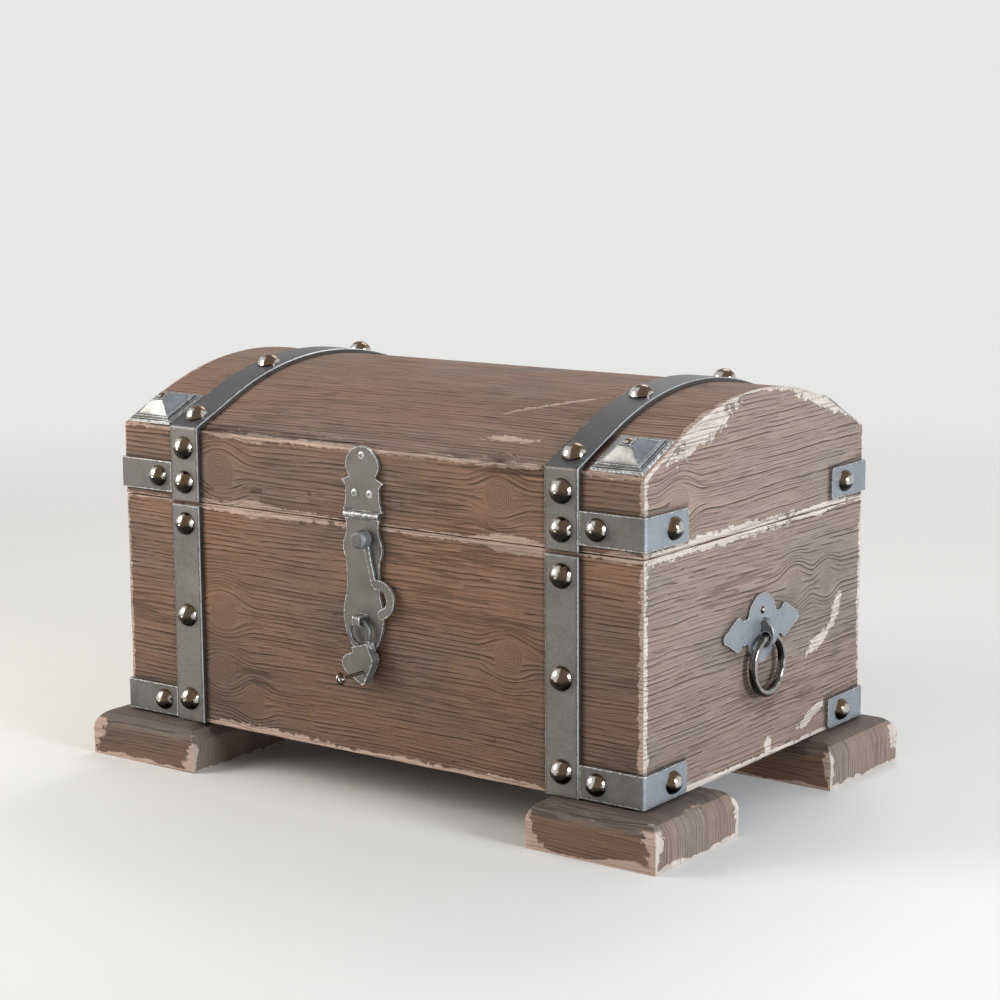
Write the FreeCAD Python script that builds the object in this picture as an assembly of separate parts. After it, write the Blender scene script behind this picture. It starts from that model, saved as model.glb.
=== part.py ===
import FreeCAD, Part
import math
import os

from FreeCAD import Placement, Rotation, Vector

# A small ark chest: a boarded body on four block feet, a coopered arched lid, iron straps and lock.
# Frame: X runs along the front, Y from front to back, Z up. The origin is on the floor, under the
# middle of the body. All sizes are in millimetres. Each piece goes to its own STEP file in parts/.

# ---- body: four mitred boards round a floor of planks that sits in a groove -------------------
LENGTH = 600.0
DEPTH = 381.0
BODY_HEIGHT = 215.6
BOARD = 20.0
PLANK = 14.0
PLANK_COUNT = 3
PLANK_JOINT = 0.4
GROOVE_DEPTH = 8.0
GROOVE_RISE = 6.0

# ---- feet: a block under each corner, standing out past the walls ------------------------------
FOOT_LENGTH = 133.6
FOOT_DEPTH = 134.0
FOOT_HEIGHT = 44.0
FOOT_OUT_X = 29.6
FOOT_OUT_Y = 26.5
FOOT_TOP_ROUND = 20.0
FOOT_SIDE_ROUND = 1.5
FOOT_SCREW_RADIUS = 3.0
FOOT_SCREW_HEAD_RADIUS = 7.0
FOOT_SCREW_HEAD = 4.0
FOOT_SCREW_SINK = 18.0
FOOT_SCREW_GRIP = 26.0
FOOT_SCREW_INSET = 8.0
FOOT_SCREW_FROM_END = 64.0
FOOT_SCREW_FROM_FRONT = 70.5

# ---- lid: upright rails and arched ends that carry staves; flat flanks run into a round crown --
SEAM = 0.4
LID_WALL = 69.3
FLANK_RUN = 52.5
FLANK_ANGLE = 24.95
STAVE = 16.0
CROWN_STAVES = 5
END_SKIN = 8.0

# ---- iron straps, domed nails and corner brackets ----------------------------------------------
STRAP_WIDTH = 35.0
STRAP = 4.0
STRAP_FROM_END = 81.5
STRAP_EDGE = 0.8
STRAP_SEAM_SETBACK = 3.6
LID_STRAP_SEAM_SETBACK = 0.6
DOME_RADIUS = 11.2
DOME_HEIGHT = 9.0
DOME_SKIRT = 1.0
NAIL_SHANK_RADIUS = 2.0
NAIL_BITE = 11.0
BODY_NAIL_TOP_DROP = 21.1
BODY_NAIL_MIDDLE_RISE = 105.0
BODY_NAIL_LOW_RISE = 22.5
LID_NAIL_HIGH_DROP = 17.8
LID_NAIL_LOW_RISE = 18.5
FLANK_NAIL_RUN = 19.3
CROWN_NAIL_Y = 70.5

BRACKET_HEIGHT = 29.0
BRACKET = 3.0
BRACKET_STRAP_GAP = 0.6
BRACKET_SIDE_ARM = 64.5
BRACKET_END_ROUND = 3.5
BODY_BRACKET_RISE = 2.0
LID_BRACKET_RISE = 7.0
BRACKET_NAIL_RADIUS = 10.3
BRACKET_NAIL_HEIGHT = 8.4
BRACKET_NAIL_SKIRT = 1.0
BRACKET_NAIL_FRONT = 46.3
BRACKET_NAIL_SIDE = 41.0

# ---- stepped pyramid bosses on the lid's four flank corners -------------------------------------
BOSS_WIDTH = 54.0
BOSS_FROM_END = 30.5
BOSS_UPSLOPE = 29.8
BOSS_STEP = 2.5
BOSS_STEP_IN = 4.0
BOSS_FRUSTUM_BASE = 38.0
BOSS_FRUSTUM_TOP = 14.5
BOSS_FRUSTUM_HEIGHT = 9.0
BOSS_PAD = 1.0
BOSS_PAD_WIDTH = 11.0
BOSS_NAIL_RADIUS = 4.2
BOSS_NAIL_HEIGHT = 1.8
BOSS_NAIL_SKIRT = 0.6

# ---- ring handles on the ends --------------------------------------------------------------------
RING_PLATE = 3.0
RING_PLATE_Z = 168.5
RING_LOBE_RADIUS = 25.0
RING_LOBE_OFFSET = 6.5
RING_ARM_HALF = 46.0
RING_ARM_HALF_HEIGHT = 11.5
RING_SCALLOP_RADIUS = 7.0
RING_SCALLOP_Y = 41.0
RING_SCALLOP_OFFSET = 8.7
RING_TIP_Y = 60.8
RING_TIP_RADIUS = 5.5
RING_TIP_SHOULDER = 14.2
RING_RADIUS = 25.8
RING_WIRE_RADIUS = 4.0
RING_STANDOFF = 9.0
RING_PIVOT_BELOW = 7.6
LUG_RADIUS = 14.0
LUG = 8.0
LUG_DROP = 5.0
LUG_ROUND = 1.5
EYE_GAP = 0.9
EYE_SHANK_RADIUS = 3.2
EYE_RIVET_RADIUS = 7.0
EYE_RIVET = 3.0
RING_NAIL_RADIUS = 3.4
RING_NAIL_HEIGHT = 2.6
RING_NAIL_SHANK_RADIUS = 1.2
RING_NAIL_RISE = 16.0

# ---- hasp on the front: a plate on the lid and a long flap hinged below it ----------------------
HASP_PLATE = 3.0
HASP_AXIS_RISE = 8.5
HASP_BARREL_RADIUS = 3.0
HASP_PIN_RADIUS = 1.5
HASP_PIN_HEAD_RADIUS = 2.4
HASP_PIN_HEAD = 0.75
HASP_BARREL_HALF = 20.0
HASP_KNUCKLE_HALF = 10.7
HASP_KNUCKLE_GAP = 0.4
HASP_WALL_GAP = 0.6
HASP_BARREL_GAP = 0.5
HASP_HEAD_RADIUS = 19.4
HASP_HEAD_RISE = 43.2
HASP_SCREW_RADIUS = 1.8
HASP_SCREW_HEAD_RADIUS = 3.6
HASP_SCREW_HEAD = 1.6
HASP_SCREW_HIGH_RISE = 54.4
HASP_SCREW_LOW_RISE = 19.8
HASP_SCREW_SIDE = 8.8
# Half outlines as (half width, height above the hinge axis): the plate's from its round head
# down, the flap's from its top edge down to the tip. Each row is an arc's middle and its end.
HASP_CUSP = (24.6, 30.2)
HASP_NECK = (15.0, 34.5)
HASP_PLATE_ARCS = (((20.6, 27.2), (19.6, 20.5)), ((20.2, 11.0), (22.8, 3.5)))
FLAP_TOP_HALF = 20.0
FLAP_ARCS = (
    ((18.4, -14.0), (20.4, -21.5)),
    ((22.6, -28.0), (20.2, -39.5)),
    ((18.6, -56.5), (19.8, -74.5)),
    ((23.0, -97.5), (16.8, -117.0)),
    ((10.0, -125.0), (0.0, -130.5)),
)

# ---- stud, swing hook and staple on the flap -----------------------------------------------------
STUD_X = 5.0
STUD_DROP = 20.5
STUD_RADIUS = 3.5
STUD_HEAD_RADIUS = 8.4
STUD_HEAD = 11.0
STUD_HEAD_ROUND = 4.0
HOOK = 3.0
HOOK_SIDE_GAP = 0.3
HOOK_EYE_RADIUS = 6.6
HOOK_BAR_WIDTH = 5.2
HOOK_C_X = 15.0
HOOK_C_DROP = 54.5
HOOK_C_RADIUS = 18.0
HOOK_C_THROAT = 9.4
HOOK_C_FROM = 116.0
HOOK_C_TO = -80.0
HOOK_TIP_TURN = 14.0
HOOK_ROOT_TURN = 4.0
STAPLE_HALF_WIDTH = 4.2
STAPLE = 2.0
STAPLE_BEND = 3.0
STAPLE_HEADROOM = 2.8
STAPLE_FOOTROOM = 3.6

# ---- heart padlock with its key ------------------------------------------------------------------
PADLOCK_X = 0.0
PADLOCK_TILT = 17.0
PADLOCK = 10.0
PADLOCK_FLAP_GAP = 1.0
SHACKLE_DROP = 107.0
SHACKLE_RADIUS = 11.2
SHACKLE_WIRE_RADIUS = 2.25
SHACKLE_LEG_RADIUS = 2.6
SHACKLE_SHOULDER = 0.6
SHACKLE_SWEEP_BELOW = 56.0
SHACKLE_FOOT = 7.0
SHACKLE_EYE_RADIUS = 3.4
SHACKLE_PIN_RADIUS = 1.2
SHACKLE_SOCKET_REACH = 2.2
SHACKLE_SLOT_GAP = 0.4
COLLAR_HALF = 9.4
COLLAR_TOP = 11.4
COLLAR_DEPTH = 10.0
HEART_ASIDE = 7.0
HEART_LOBE_RADIUS = 9.3
HEART_LOBE_X = 8.7
HEART_LOBE_DROP = 25.4
HEART_TIP_DROP = 47.0
HEART_TIP_ROUND = 2.5
KEY_DROP = 35.3
KEY_SIDE = 4.2
KEY_SHAFT_RADIUS = 1.6
KEY_BIT_REACH = 3.4
KEY_BIT_WIDTH = 1.5
KEY_BIT_LENGTH = 2.6
KEY_OUT = 31.0
KEY_BOW_RADIUS = 4.0
KEY_BOW_WIRE = 1.6
KEY_TIP_WALL = 2.0

# ---- two butt hinges across the back of the seam -------------------------------------------------
HINGE_SHARE = 11 / 60
HINGE_HALF = 35.0
HINGE_LEAF = 2.5
HINGE_LEAF_HEIGHT = 28.0
HINGE_BARREL_RADIUS = 4.0
HINGE_PIN_RADIUS = 2.0
HINGE_BARREL_GAP = 0.4
HINGE_KNUCKLE_HALF = 12.0
HINGE_KNUCKLE_GAP = 0.3
HINGE_SCREW_RADIUS = 2.0
HINGE_SCREW_HEAD_RADIUS = 4.0
HINGE_SCREW_HEAD = 1.5
HINGE_SCREW_X = 24.0
HINGE_SCREW_RISE = 17.0
SCREW_BITE = 13.0

# ---- clearances and the straight rim under a small head ------------------------------------------
HOLE_CLEAR = 0.1
PIN_CLEAR = 0.05
SMALL_SKIRT = 0.4

# ---- construction: how far a cutter passes a face, how deep a joined piece enters, a match's slack
PAST = 1.0
WELD = 0.1
NEAR = 0.01

# ---- derived places ------------------------------------------------------------------------------
HALF_LENGTH = LENGTH / 2
HALF_DEPTH = DEPTH / 2
STRAP_X = HALF_LENGTH - STRAP_FROM_END
BOSS_X = HALF_LENGTH - BOSS_FROM_END
HINGE_X = HINGE_SHARE * LENGTH
BODY_BOTTOM = FOOT_HEIGHT
BODY_TOP = BODY_BOTTOM + BODY_HEIGHT
LID_BOTTOM = BODY_TOP + SEAM
ARRIS_Z = LID_BOTTOM + LID_WALL
FLANK = math.radians(FLANK_ANGLE)
CROWN_HALF = HALF_DEPTH - FLANK_RUN
CROWN_RADIUS = CROWN_HALF / math.sin(FLANK)
CROWN_Z = ARRIS_Z + FLANK_RUN * math.tan(FLANK) - CROWN_RADIUS * math.cos(FLANK)
HASP_AXIS_Y = -(HALF_DEPTH + HASP_BARREL_RADIUS + HASP_BARREL_GAP)
HASP_AXIS_Z = LID_BOTTOM + HASP_AXIS_RISE
FLAP_BACK = -(HALF_DEPTH + HASP_WALL_GAP)
FLAP_FRONT = FLAP_BACK - HASP_PLATE
HOOK_BACK = FLAP_FRONT - HOOK_SIDE_GAP
PADLOCK_Y = FLAP_FRONT - PADLOCK_FLAP_GAP - PADLOCK / 2
SHACKLE_Z = HASP_AXIS_Z - SHACKLE_DROP
HINGE_AXIS_Y = HALF_DEPTH + HINGE_BARREL_RADIUS + HINGE_BARREL_GAP
HINGE_AXIS_Z = (BODY_TOP + LID_BOTTOM) / 2
RING_PIVOT_X = HALF_LENGTH + RING_STANDOFF
RING_PIVOT_Z = RING_PLATE_Z - RING_PIVOT_BELOW
LUG_Z = RING_PLATE_Z - LUG_DROP

X_AXIS = Vector(1, 0, 0)
Y_AXIS = Vector(0, 1, 0)
Z_AXIS = Vector(0, 0, 1)
FRONT = Vector(0, -1, 0)
ORIGIN = Vector(0, 0, 0)
SIDES = (("left", -1), ("right", 1))


# ---- small shape helpers -------------------------------------------------------------------------
def block(x0, x1, y0, y1, z0, z1):
    """A box between two limits on each axis."""
    return Part.makeBox(x1 - x0, y1 - y0, z1 - z0, Vector(x0, y0, z0))


def prism(edges, direction):
    """A solid made by sliding the closed outline along a vector."""
    return Part.Face(Part.Wire(Part.__sortEdges__(edges))).extrude(direction)


def polygon_prism(points, direction):
    """A solid made by sliding the closed polygon along a vector."""
    return Part.Face(Part.makePolygon(points + [points[0]])).extrude(direction)


def line(a, b):
    """A straight edge."""
    return Part.LineSegment(a, b).toShape()


def arc(a, middle, b):
    """An arc edge through three points."""
    return Part.Arc(a, middle, b).toShape()


def cylinder(radius, start, direction, length):
    """A round rod from a start point along a direction."""
    return Part.makeCylinder(radius, length, start, direction)


def union(shapes):
    """The shapes joined into one solid."""
    return shapes[0].multiFuse(shapes[1:]).removeSplitter()


def group(shapes):
    """Separate solids held together as one node."""
    return Part.makeCompound(shapes)


def half_turn(shape):
    """The shape turned half a turn about the vertical: what is at the front left goes to the back right."""
    turned = shape.copy()
    turned.rotate(ORIGIN, Z_AXIS, 180)
    return turned


def at(shape, point, outward):
    """The shape, made upright at the origin, seated at a point with its top facing outward."""
    placed = shape.copy()
    placed.Placement = Placement(point, Rotation(Z_AXIS, outward)).multiply(placed.Placement)
    return placed


# ---- nails and screws ----------------------------------------------------------------------------
def turned_head(radius, height, skirt, shank_radius, shank_length):
    """A domed head on a round shank: its underside is at the origin and the shank goes down."""
    rise = height - skirt
    ball = (radius**2 + rise**2) / (2 * rise)
    shoulder = Vector(radius, 0, skirt)
    crown = Vector(0, 0, height)
    tilt = math.asin(min(1.0, radius / ball)) / 2
    middle = Vector(ball * math.sin(tilt), 0, height - ball + ball * math.cos(tilt))
    foot = Vector(0, 0, -shank_length)
    toe = Vector(shank_radius, 0, -shank_length)
    neck = Vector(shank_radius, 0, 0)
    rim = Vector(radius, 0, 0)
    edges = [line(foot, toe), line(toe, neck), line(neck, rim), line(rim, shoulder)]
    edges += [arc(shoulder, middle, crown), line(crown, foot)]
    face = Part.Face(Part.Wire(edges))
    return face.revolve(ORIGIN, Z_AXIS, 360)


def strap_nail():
    """The big domed nail that holds a strap."""
    return turned_head(DOME_RADIUS, DOME_HEIGHT, DOME_SKIRT, NAIL_SHANK_RADIUS, STRAP + NAIL_BITE)


def bracket_nail():
    """The domed nail that holds a corner bracket."""
    shank = BRACKET + NAIL_BITE
    return turned_head(BRACKET_NAIL_RADIUS, BRACKET_NAIL_HEIGHT, BRACKET_NAIL_SKIRT, NAIL_SHANK_RADIUS, shank)


def shank_hole(depth, radius=NAIL_SHANK_RADIUS):
    """The hole that a shank needs, with clearance, from above the seat down."""
    return cylinder(radius + HOLE_CLEAR, Vector(0, 0, PAST), -Z_AXIS, PAST + depth + HOLE_CLEAR)


class Fastener:
    """A run of like fasteners: the solids, and the holes that they need."""

    def __init__(self, shape, hole):
        self.shape, self.hole = shape, hole
        self.solids, self.holes = [], []

    def drive(self, point, outward):
        """Put one at a point on the outer surface of what it holds."""
        self.solids.append(at(self.shape, point, outward))
        self.holes.append(at(self.hole, point, outward))


def drill(shape, *runs):
    """The shape with the holes of every fastener run cut from it where they meet."""
    holes = [h for run in runs for h in run.holes if h.BoundBox.intersect(shape.BoundBox)]
    return shape.cut(group(holes)) if holes else shape


# ---- the lid's section ---------------------------------------------------------------------------
def arris(wall_out, flank_out):
    """Where the front wall's face, moved out, meets the flank's face, moved out, as (y, z)."""
    along = (flank_out * math.sin(FLANK) - wall_out) / math.cos(FLANK)
    return -(HALF_DEPTH + wall_out), ARRIS_Z + along * math.sin(FLANK) + flank_out * math.cos(FLANK)


def crown(angle, out=0.0):
    """The point on the crown at an angle from the top, moved out, as (y, z)."""
    return (CROWN_RADIUS + out) * math.sin(angle), CROWN_Z + (CROWN_RADIUS + out) * math.cos(angle)


def flank_point(along, out=0.0):
    """The point on the front flank at a distance up its slope, moved out, as (y, z)."""
    y = -HALF_DEPTH + along * math.cos(FLANK) - out * math.sin(FLANK)
    return y, ARRIS_Z + along * math.sin(FLANK) + out * math.cos(FLANK)


FLANK_OUT = Vector(0, -math.sin(FLANK), math.cos(FLANK))


def across(x, yz):
    """A point from its place along the chest and its (y, z) in the section."""
    return Vector(x, yz[0], yz[1])


def arch_block(x0, x1):
    """The whole lid's outside, solid, between two places along the chest."""
    low_front, low_back = Vector(x0, -HALF_DEPTH, LID_BOTTOM), Vector(x0, HALF_DEPTH, LID_BOTTOM)
    front, back = Vector(x0, -HALF_DEPTH, ARRIS_Z), Vector(x0, HALF_DEPTH, ARRIS_Z)
    start, end = across(x0, crown(-FLANK)), across(x0, crown(FLANK))
    edges = [line(low_front, front), line(front, start), arc(start, across(x0, crown(0)), end)]
    edges += [line(end, back), line(back, low_back), line(low_back, low_front)]
    return prism(edges, Vector(x1 - x0, 0, 0))


def flank_stave():
    """The front flank's flat stave, let into a rebate in each end board."""
    x = -HALF_LENGTH + END_SKIN
    points = [arris(0, 0), crown(-FLANK), crown(-FLANK, -STAVE), arris(-BOARD, -STAVE)]
    return polygon_prism([across(x, p) for p in points], Vector(-2 * x, 0, 0))


def crown_stave(index):
    """One of the crown's staves, between two radial joints."""
    x = -HALF_LENGTH + END_SKIN
    step = 2 * FLANK / CROWN_STAVES
    low = -FLANK + index * step
    high = low + step
    middle = (low + high) / 2
    a, b = across(x, crown(low)), across(x, crown(high))
    c, d = across(x, crown(high, -STAVE)), across(x, crown(low, -STAVE))
    edges = [arc(a, across(x, crown(middle)), b), line(b, c)]
    edges += [arc(c, across(x, crown(middle, -STAVE)), d), line(d, a)]
    return prism(edges, Vector(-2 * x, 0, 0))


# ---- boards --------------------------------------------------------------------------------------
def mitred_plan(bottom, top):
    """The front wall's place: a long board with both ends cut at the corners' mitres."""
    outer, inner = HALF_LENGTH, HALF_LENGTH - BOARD
    points = [(-outer, -HALF_DEPTH), (outer, -HALF_DEPTH), (inner, BOARD - HALF_DEPTH)]
    points.append((-inner, BOARD - HALF_DEPTH))
    return polygon_prism([Vector(x, y, bottom) for x, y in points], Vector(0, 0, top - bottom))


def end_plan(bottom, top):
    """The right end wall's place, mitred at both corners."""
    inner_x, inner_y = HALF_LENGTH - BOARD, HALF_DEPTH - BOARD
    points = [(HALF_LENGTH, -HALF_DEPTH), (HALF_LENGTH, HALF_DEPTH), (inner_x, inner_y), (inner_x, -inner_y)]
    return polygon_prism([Vector(x, y, bottom) for x, y in points], Vector(0, 0, top - bottom))


def floor_planks():
    """The floor: planks side by side, their edges in the walls' groove."""
    reach_x = HALF_LENGTH - BOARD + GROOVE_DEPTH
    reach_y = HALF_DEPTH - BOARD + GROOVE_DEPTH
    low = BODY_BOTTOM + GROOVE_RISE
    width = (2 * reach_y - (PLANK_COUNT - 1) * PLANK_JOINT) / PLANK_COUNT
    starts = [-reach_y + i * (width + PLANK_JOINT) for i in range(PLANK_COUNT)]
    return [block(-reach_x, reach_x, y, y + width, low, low + PLANK) for y in starts]


def rail():
    """The lid's front rail, its top edge cut to meet the flank stave."""
    x = -HALF_LENGTH
    foot_out, foot_in = (-HALF_DEPTH, LID_BOTTOM), (BOARD - HALF_DEPTH, LID_BOTTOM)
    points = [foot_out, arris(0, 0), arris(-BOARD, -STAVE), foot_in]
    section = polygon_prism([across(x, p) for p in points], Vector(LENGTH, 0, 0))
    return section.common(mitred_plan(LID_BOTTOM, ARRIS_Z))


# ---- feet ----------------------------------------------------------------------------------------
def foot():
    """The front right foot: a block with its top edges well rounded."""
    x1, y0 = HALF_LENGTH + FOOT_OUT_X, -HALF_DEPTH - FOOT_OUT_Y
    x0, y1 = x1 - FOOT_LENGTH, y0 + FOOT_DEPTH
    shape = block(x0, x1, y0, y1, 0, FOOT_HEIGHT)
    upright = [e for e in shape.Edges if e.BoundBox.ZLength > FOOT_HEIGHT / 2]
    shape = shape.makeFillet(FOOT_SIDE_ROUND, upright)
    top = [e for e in shape.Edges if e.BoundBox.ZMin > FOOT_HEIGHT - NEAR]
    return shape.makeFillet(FOOT_TOP_ROUND, top)


def foot_screw():
    """A long screw driven up from a sunk hole in the sole."""
    shank = FOOT_HEIGHT - FOOT_SCREW_SINK + FOOT_SCREW_GRIP
    seat = Vector(0, 0, FOOT_SCREW_SINK - FOOT_SCREW_HEAD)
    head = cylinder(FOOT_SCREW_HEAD_RADIUS, seat, Z_AXIS, FOOT_SCREW_HEAD)
    return union([head, cylinder(FOOT_SCREW_RADIUS, Vector(0, 0, FOOT_SCREW_SINK), Z_AXIS, shank)])


def foot_screw_hole():
    """The stepped hole that a foot screw needs."""
    sink = cylinder(FOOT_SCREW_HEAD_RADIUS + HOLE_CLEAR, ORIGIN, Z_AXIS, FOOT_SCREW_SINK)
    length = FOOT_HEIGHT + FOOT_SCREW_GRIP + HOLE_CLEAR
    return union([sink, cylinder(FOOT_SCREW_RADIUS + HOLE_CLEAR, ORIGIN, Z_AXIS, length)])


def foot_screws():
    """Two screws in each foot: one up into the long wall, one into the end wall."""
    run = Fastener(foot_screw(), foot_screw_hole())
    for sx in (-1, 1):
        for sy in (-1, 1):
            long_x, long_y = HALF_LENGTH - FOOT_SCREW_FROM_END, HALF_DEPTH - FOOT_SCREW_INSET
            end_x, end_y = HALF_LENGTH - FOOT_SCREW_INSET, HALF_DEPTH - FOOT_SCREW_FROM_FRONT
            run.drive(Vector(sx * long_x, sy * long_y, 0), Z_AXIS)
            run.drive(Vector(sx * end_x, sy * end_y, 0), Z_AXIS)
    return run


# ---- straps and brackets -------------------------------------------------------------------------
def body_strap():
    """The strap down the front of the body, its outer edges bevelled."""
    x0, x1 = STRAP_X - STRAP_WIDTH / 2, STRAP_X + STRAP_WIDTH / 2
    outer = -HALF_DEPTH - STRAP
    shape = block(x0, x1, outer, -HALF_DEPTH, BODY_BOTTOM, BODY_TOP - STRAP_SEAM_SETBACK)
    face_edges = [e for e in shape.Edges if e.BoundBox.YMax < outer + NEAR]
    return shape.makeChamfer(STRAP_EDGE, face_edges)


def lid_strap():
    """The strap up the lid's front, over the arch and down its back."""
    x = STRAP_X - STRAP_WIDTH / 2
    low = LID_BOTTOM + LID_STRAP_SEAM_SETBACK
    half_bend = math.pi / 4 + FLANK / 2
    bend = (-HALF_DEPTH - STRAP * math.sin(half_bend), ARRIS_Z + STRAP * math.cos(half_bend))

    def mirror(yz):
        return -yz[0], yz[1]

    wall_foot, wall_top = (-HALF_DEPTH - STRAP, low), (-HALF_DEPTH - STRAP, ARRIS_Z)
    flank_low, flank_high = flank_point(0, STRAP), crown(-FLANK, STRAP)
    inner_foot, inner_top, inner_high = (-HALF_DEPTH, low), arris(0, 0), crown(-FLANK)
    edges = []
    for side in (lambda p: p, mirror):
        edges.append(line(across(x, side(inner_foot)), across(x, side(wall_foot))))
        edges.append(line(across(x, side(wall_foot)), across(x, side(wall_top))))
        edges.append(arc(across(x, side(wall_top)), across(x, side(bend)), across(x, side(flank_low))))
        edges.append(line(across(x, side(flank_low)), across(x, side(flank_high))))
        edges.append(line(across(x, side(inner_foot)), across(x, side(inner_top))))
        edges.append(line(across(x, side(inner_top)), across(x, side(inner_high))))
    for out in (0.0, STRAP):
        ends = [across(x, crown(turn, out)) for turn in (-FLANK, 0.0, FLANK)]
        edges.append(arc(*ends))
    shape = prism(edges, Vector(STRAP_WIDTH, 0, 0))
    under = arch_block(x, x + STRAP_WIDTH)
    long_edges = [e for e in shape.Edges if e.BoundBox.XLength < NEAR]
    outer = [e for e in long_edges if e.distToShape(under)[0] > STRAP - NEAR]
    return shape.makeChamfer(STRAP_EDGE, outer)


def corner_bracket(low):
    """The front right corner's bracket, from a height up: a bent plate round the corner."""
    front_arm = HALF_LENGTH - STRAP_X - STRAP_WIDTH / 2 - BRACKET_STRAP_GAP
    x, y = HALF_LENGTH, -HALF_DEPTH
    diagonal = BRACKET / math.sqrt(2)
    a, b = Vector(x - front_arm, y, low), Vector(x - front_arm, y - BRACKET, low)
    c, d = Vector(x, y - BRACKET, low), Vector(x + BRACKET, y, low)
    e, f = Vector(x + BRACKET, y + BRACKET_SIDE_ARM, low), Vector(x, y + BRACKET_SIDE_ARM, low)
    edges = [line(a, b), line(b, c), arc(c, Vector(x + diagonal, y - diagonal, low), d)]
    edges += [line(d, e), line(e, f), line(f, Vector(x, y, low)), line(Vector(x, y, low), a)]
    shape = prism(edges, Vector(0, 0, BRACKET_HEIGHT))
    arm_end = [t for t in shape.Edges if t.BoundBox.YMin > y + BRACKET_SIDE_ARM - NEAR]
    tips = [t for t in arm_end if t.BoundBox.ZLength < NEAR]
    return shape.makeFillet(BRACKET_END_ROUND, tips)


def four_corners(shape_of_side):
    """The four corners' copies of a piece, front left, front right, back left and back right."""
    right, left = shape_of_side(1), shape_of_side(-1)
    return {
        "front_left": left,
        "front_right": right,
        "back_left": half_turn(right),
        "back_right": half_turn(left),
    }


def mirrored(shape):
    """The shape mirrored from the right half to the left."""
    return shape.mirror(ORIGIN, X_AXIS)


# ---- stepped pyramid boss ------------------------------------------------------------------------
def frustum(low_width, high_width, low, high):
    """A square block between two heights, its sides sloping from one width to the other."""
    rings = []
    for width, z in ((low_width, low), (high_width, high)):
        h = width / 2
        corners = [Vector(-h, -h, z), Vector(h, -h, z), Vector(h, h, z), Vector(-h, h, z)]
        rings.append(Part.makePolygon(corners + [corners[0]]))
    return Part.makeLoft(rings, True, True)


BOSS_TOP = 2 * BOSS_STEP + BOSS_FRUSTUM_HEIGHT + BOSS_PAD


def pyramid_boss():
    """Two moulded steps, a steep pyramid cut off flat, and a small pad for the nail."""
    second = BOSS_WIDTH - 2 * BOSS_STEP_IN
    frustum_top = 2 * BOSS_STEP + BOSS_FRUSTUM_HEIGHT
    layers = [
        frustum(BOSS_WIDTH, BOSS_WIDTH - BOSS_STEP, 0, BOSS_STEP),
        frustum(second, second - BOSS_STEP, BOSS_STEP, 2 * BOSS_STEP),
        frustum(BOSS_FRUSTUM_BASE, BOSS_FRUSTUM_TOP, 2 * BOSS_STEP, frustum_top),
        frustum(BOSS_PAD_WIDTH, BOSS_PAD_WIDTH, frustum_top, BOSS_TOP),
    ]
    return union(layers)


def boss_nail():
    """The small nail through the middle of a boss."""
    shank = BOSS_TOP + NAIL_BITE
    return turned_head(BOSS_NAIL_RADIUS, BOSS_NAIL_HEIGHT, BOSS_NAIL_SKIRT, NAIL_SHANK_RADIUS, shank)


# ---- ring handle ---------------------------------------------------------------------------------
def ring_plate():
    """The right end's plate: round lobes above and below, and a scalloped, pointed arm each way."""
    x = Vector(HALF_LENGTH, 0, 0)

    def disc(radius, y, z):
        return cylinder(radius, x + Vector(0, y, RING_PLATE_Z + z), X_AXIS, RING_PLATE)

    arm = block(
        HALF_LENGTH, HALF_LENGTH + RING_PLATE, -RING_ARM_HALF, RING_ARM_HALF,
        RING_PLATE_Z - RING_ARM_HALF_HEIGHT, RING_PLATE_Z + RING_ARM_HALF_HEIGHT,
    )
    lobes = [disc(RING_LOBE_RADIUS, 0, RING_LOBE_OFFSET), disc(RING_LOBE_RADIUS, 0, -RING_LOBE_OFFSET)]
    for side in (-1, 1):
        lobes.append(disc(RING_SCALLOP_RADIUS, side * RING_SCALLOP_Y, RING_SCALLOP_OFFSET))
        lobes.append(disc(RING_SCALLOP_RADIUS, side * RING_SCALLOP_Y, -RING_SCALLOP_OFFSET))
        lobes.append(disc(RING_TIP_RADIUS, side * RING_TIP_Y, 0))
        leaf = [(RING_ARM_HALF - PAST, RING_TIP_SHOULDER), (RING_TIP_Y, RING_TIP_RADIUS)]
        leaf += [(y, -z) for y, z in reversed(leaf)]
        corners = [x + Vector(0, side * y, RING_PLATE_Z + z) for y, z in leaf]
        lobes.append(polygon_prism(corners, X_AXIS * RING_PLATE))
    return union([arm] + lobes)


def ring_eye():
    """The right end's eye: a half-round lug on a shank that goes through the board and is riveted inside."""
    face, half = HALF_LENGTH + RING_PLATE, LUG / 2
    disc = cylinder(LUG_RADIUS, Vector(face, -half, LUG_Z), Y_AXIS, LUG)
    rims = [e for e in disc.Edges if e.BoundBox.YLength < NEAR]
    behind = block(face - 2 * LUG_RADIUS, face, -LUG, LUG, LUG_Z - 2 * LUG_RADIUS, LUG_Z + 2 * LUG_RADIUS)
    lug = disc.makeFillet(LUG_ROUND, rims).cut(behind)
    start = Vector(HALF_LENGTH - BOARD - EYE_RIVET, 0, LUG_Z)
    shank = cylinder(EYE_SHANK_RADIUS, start, X_AXIS, face + WELD - start.x)
    rivet = cylinder(EYE_RIVET_RADIUS, start, X_AXIS, EYE_RIVET)
    bore_start = Vector(RING_PIVOT_X, -half - PAST, RING_PIVOT_Z)
    bore = cylinder(RING_WIRE_RADIUS + EYE_GAP, bore_start, Y_AXIS, LUG + 2 * PAST)
    return union([lug, shank, rivet]).cut(bore)


def ring():
    """The right end's ring, hanging straight down from its eye."""
    centre = Vector(RING_PIVOT_X, 0, RING_PIVOT_Z - RING_RADIUS)
    return Part.makeTorus(RING_RADIUS, RING_WIRE_RADIUS, centre, X_AXIS)


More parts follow.
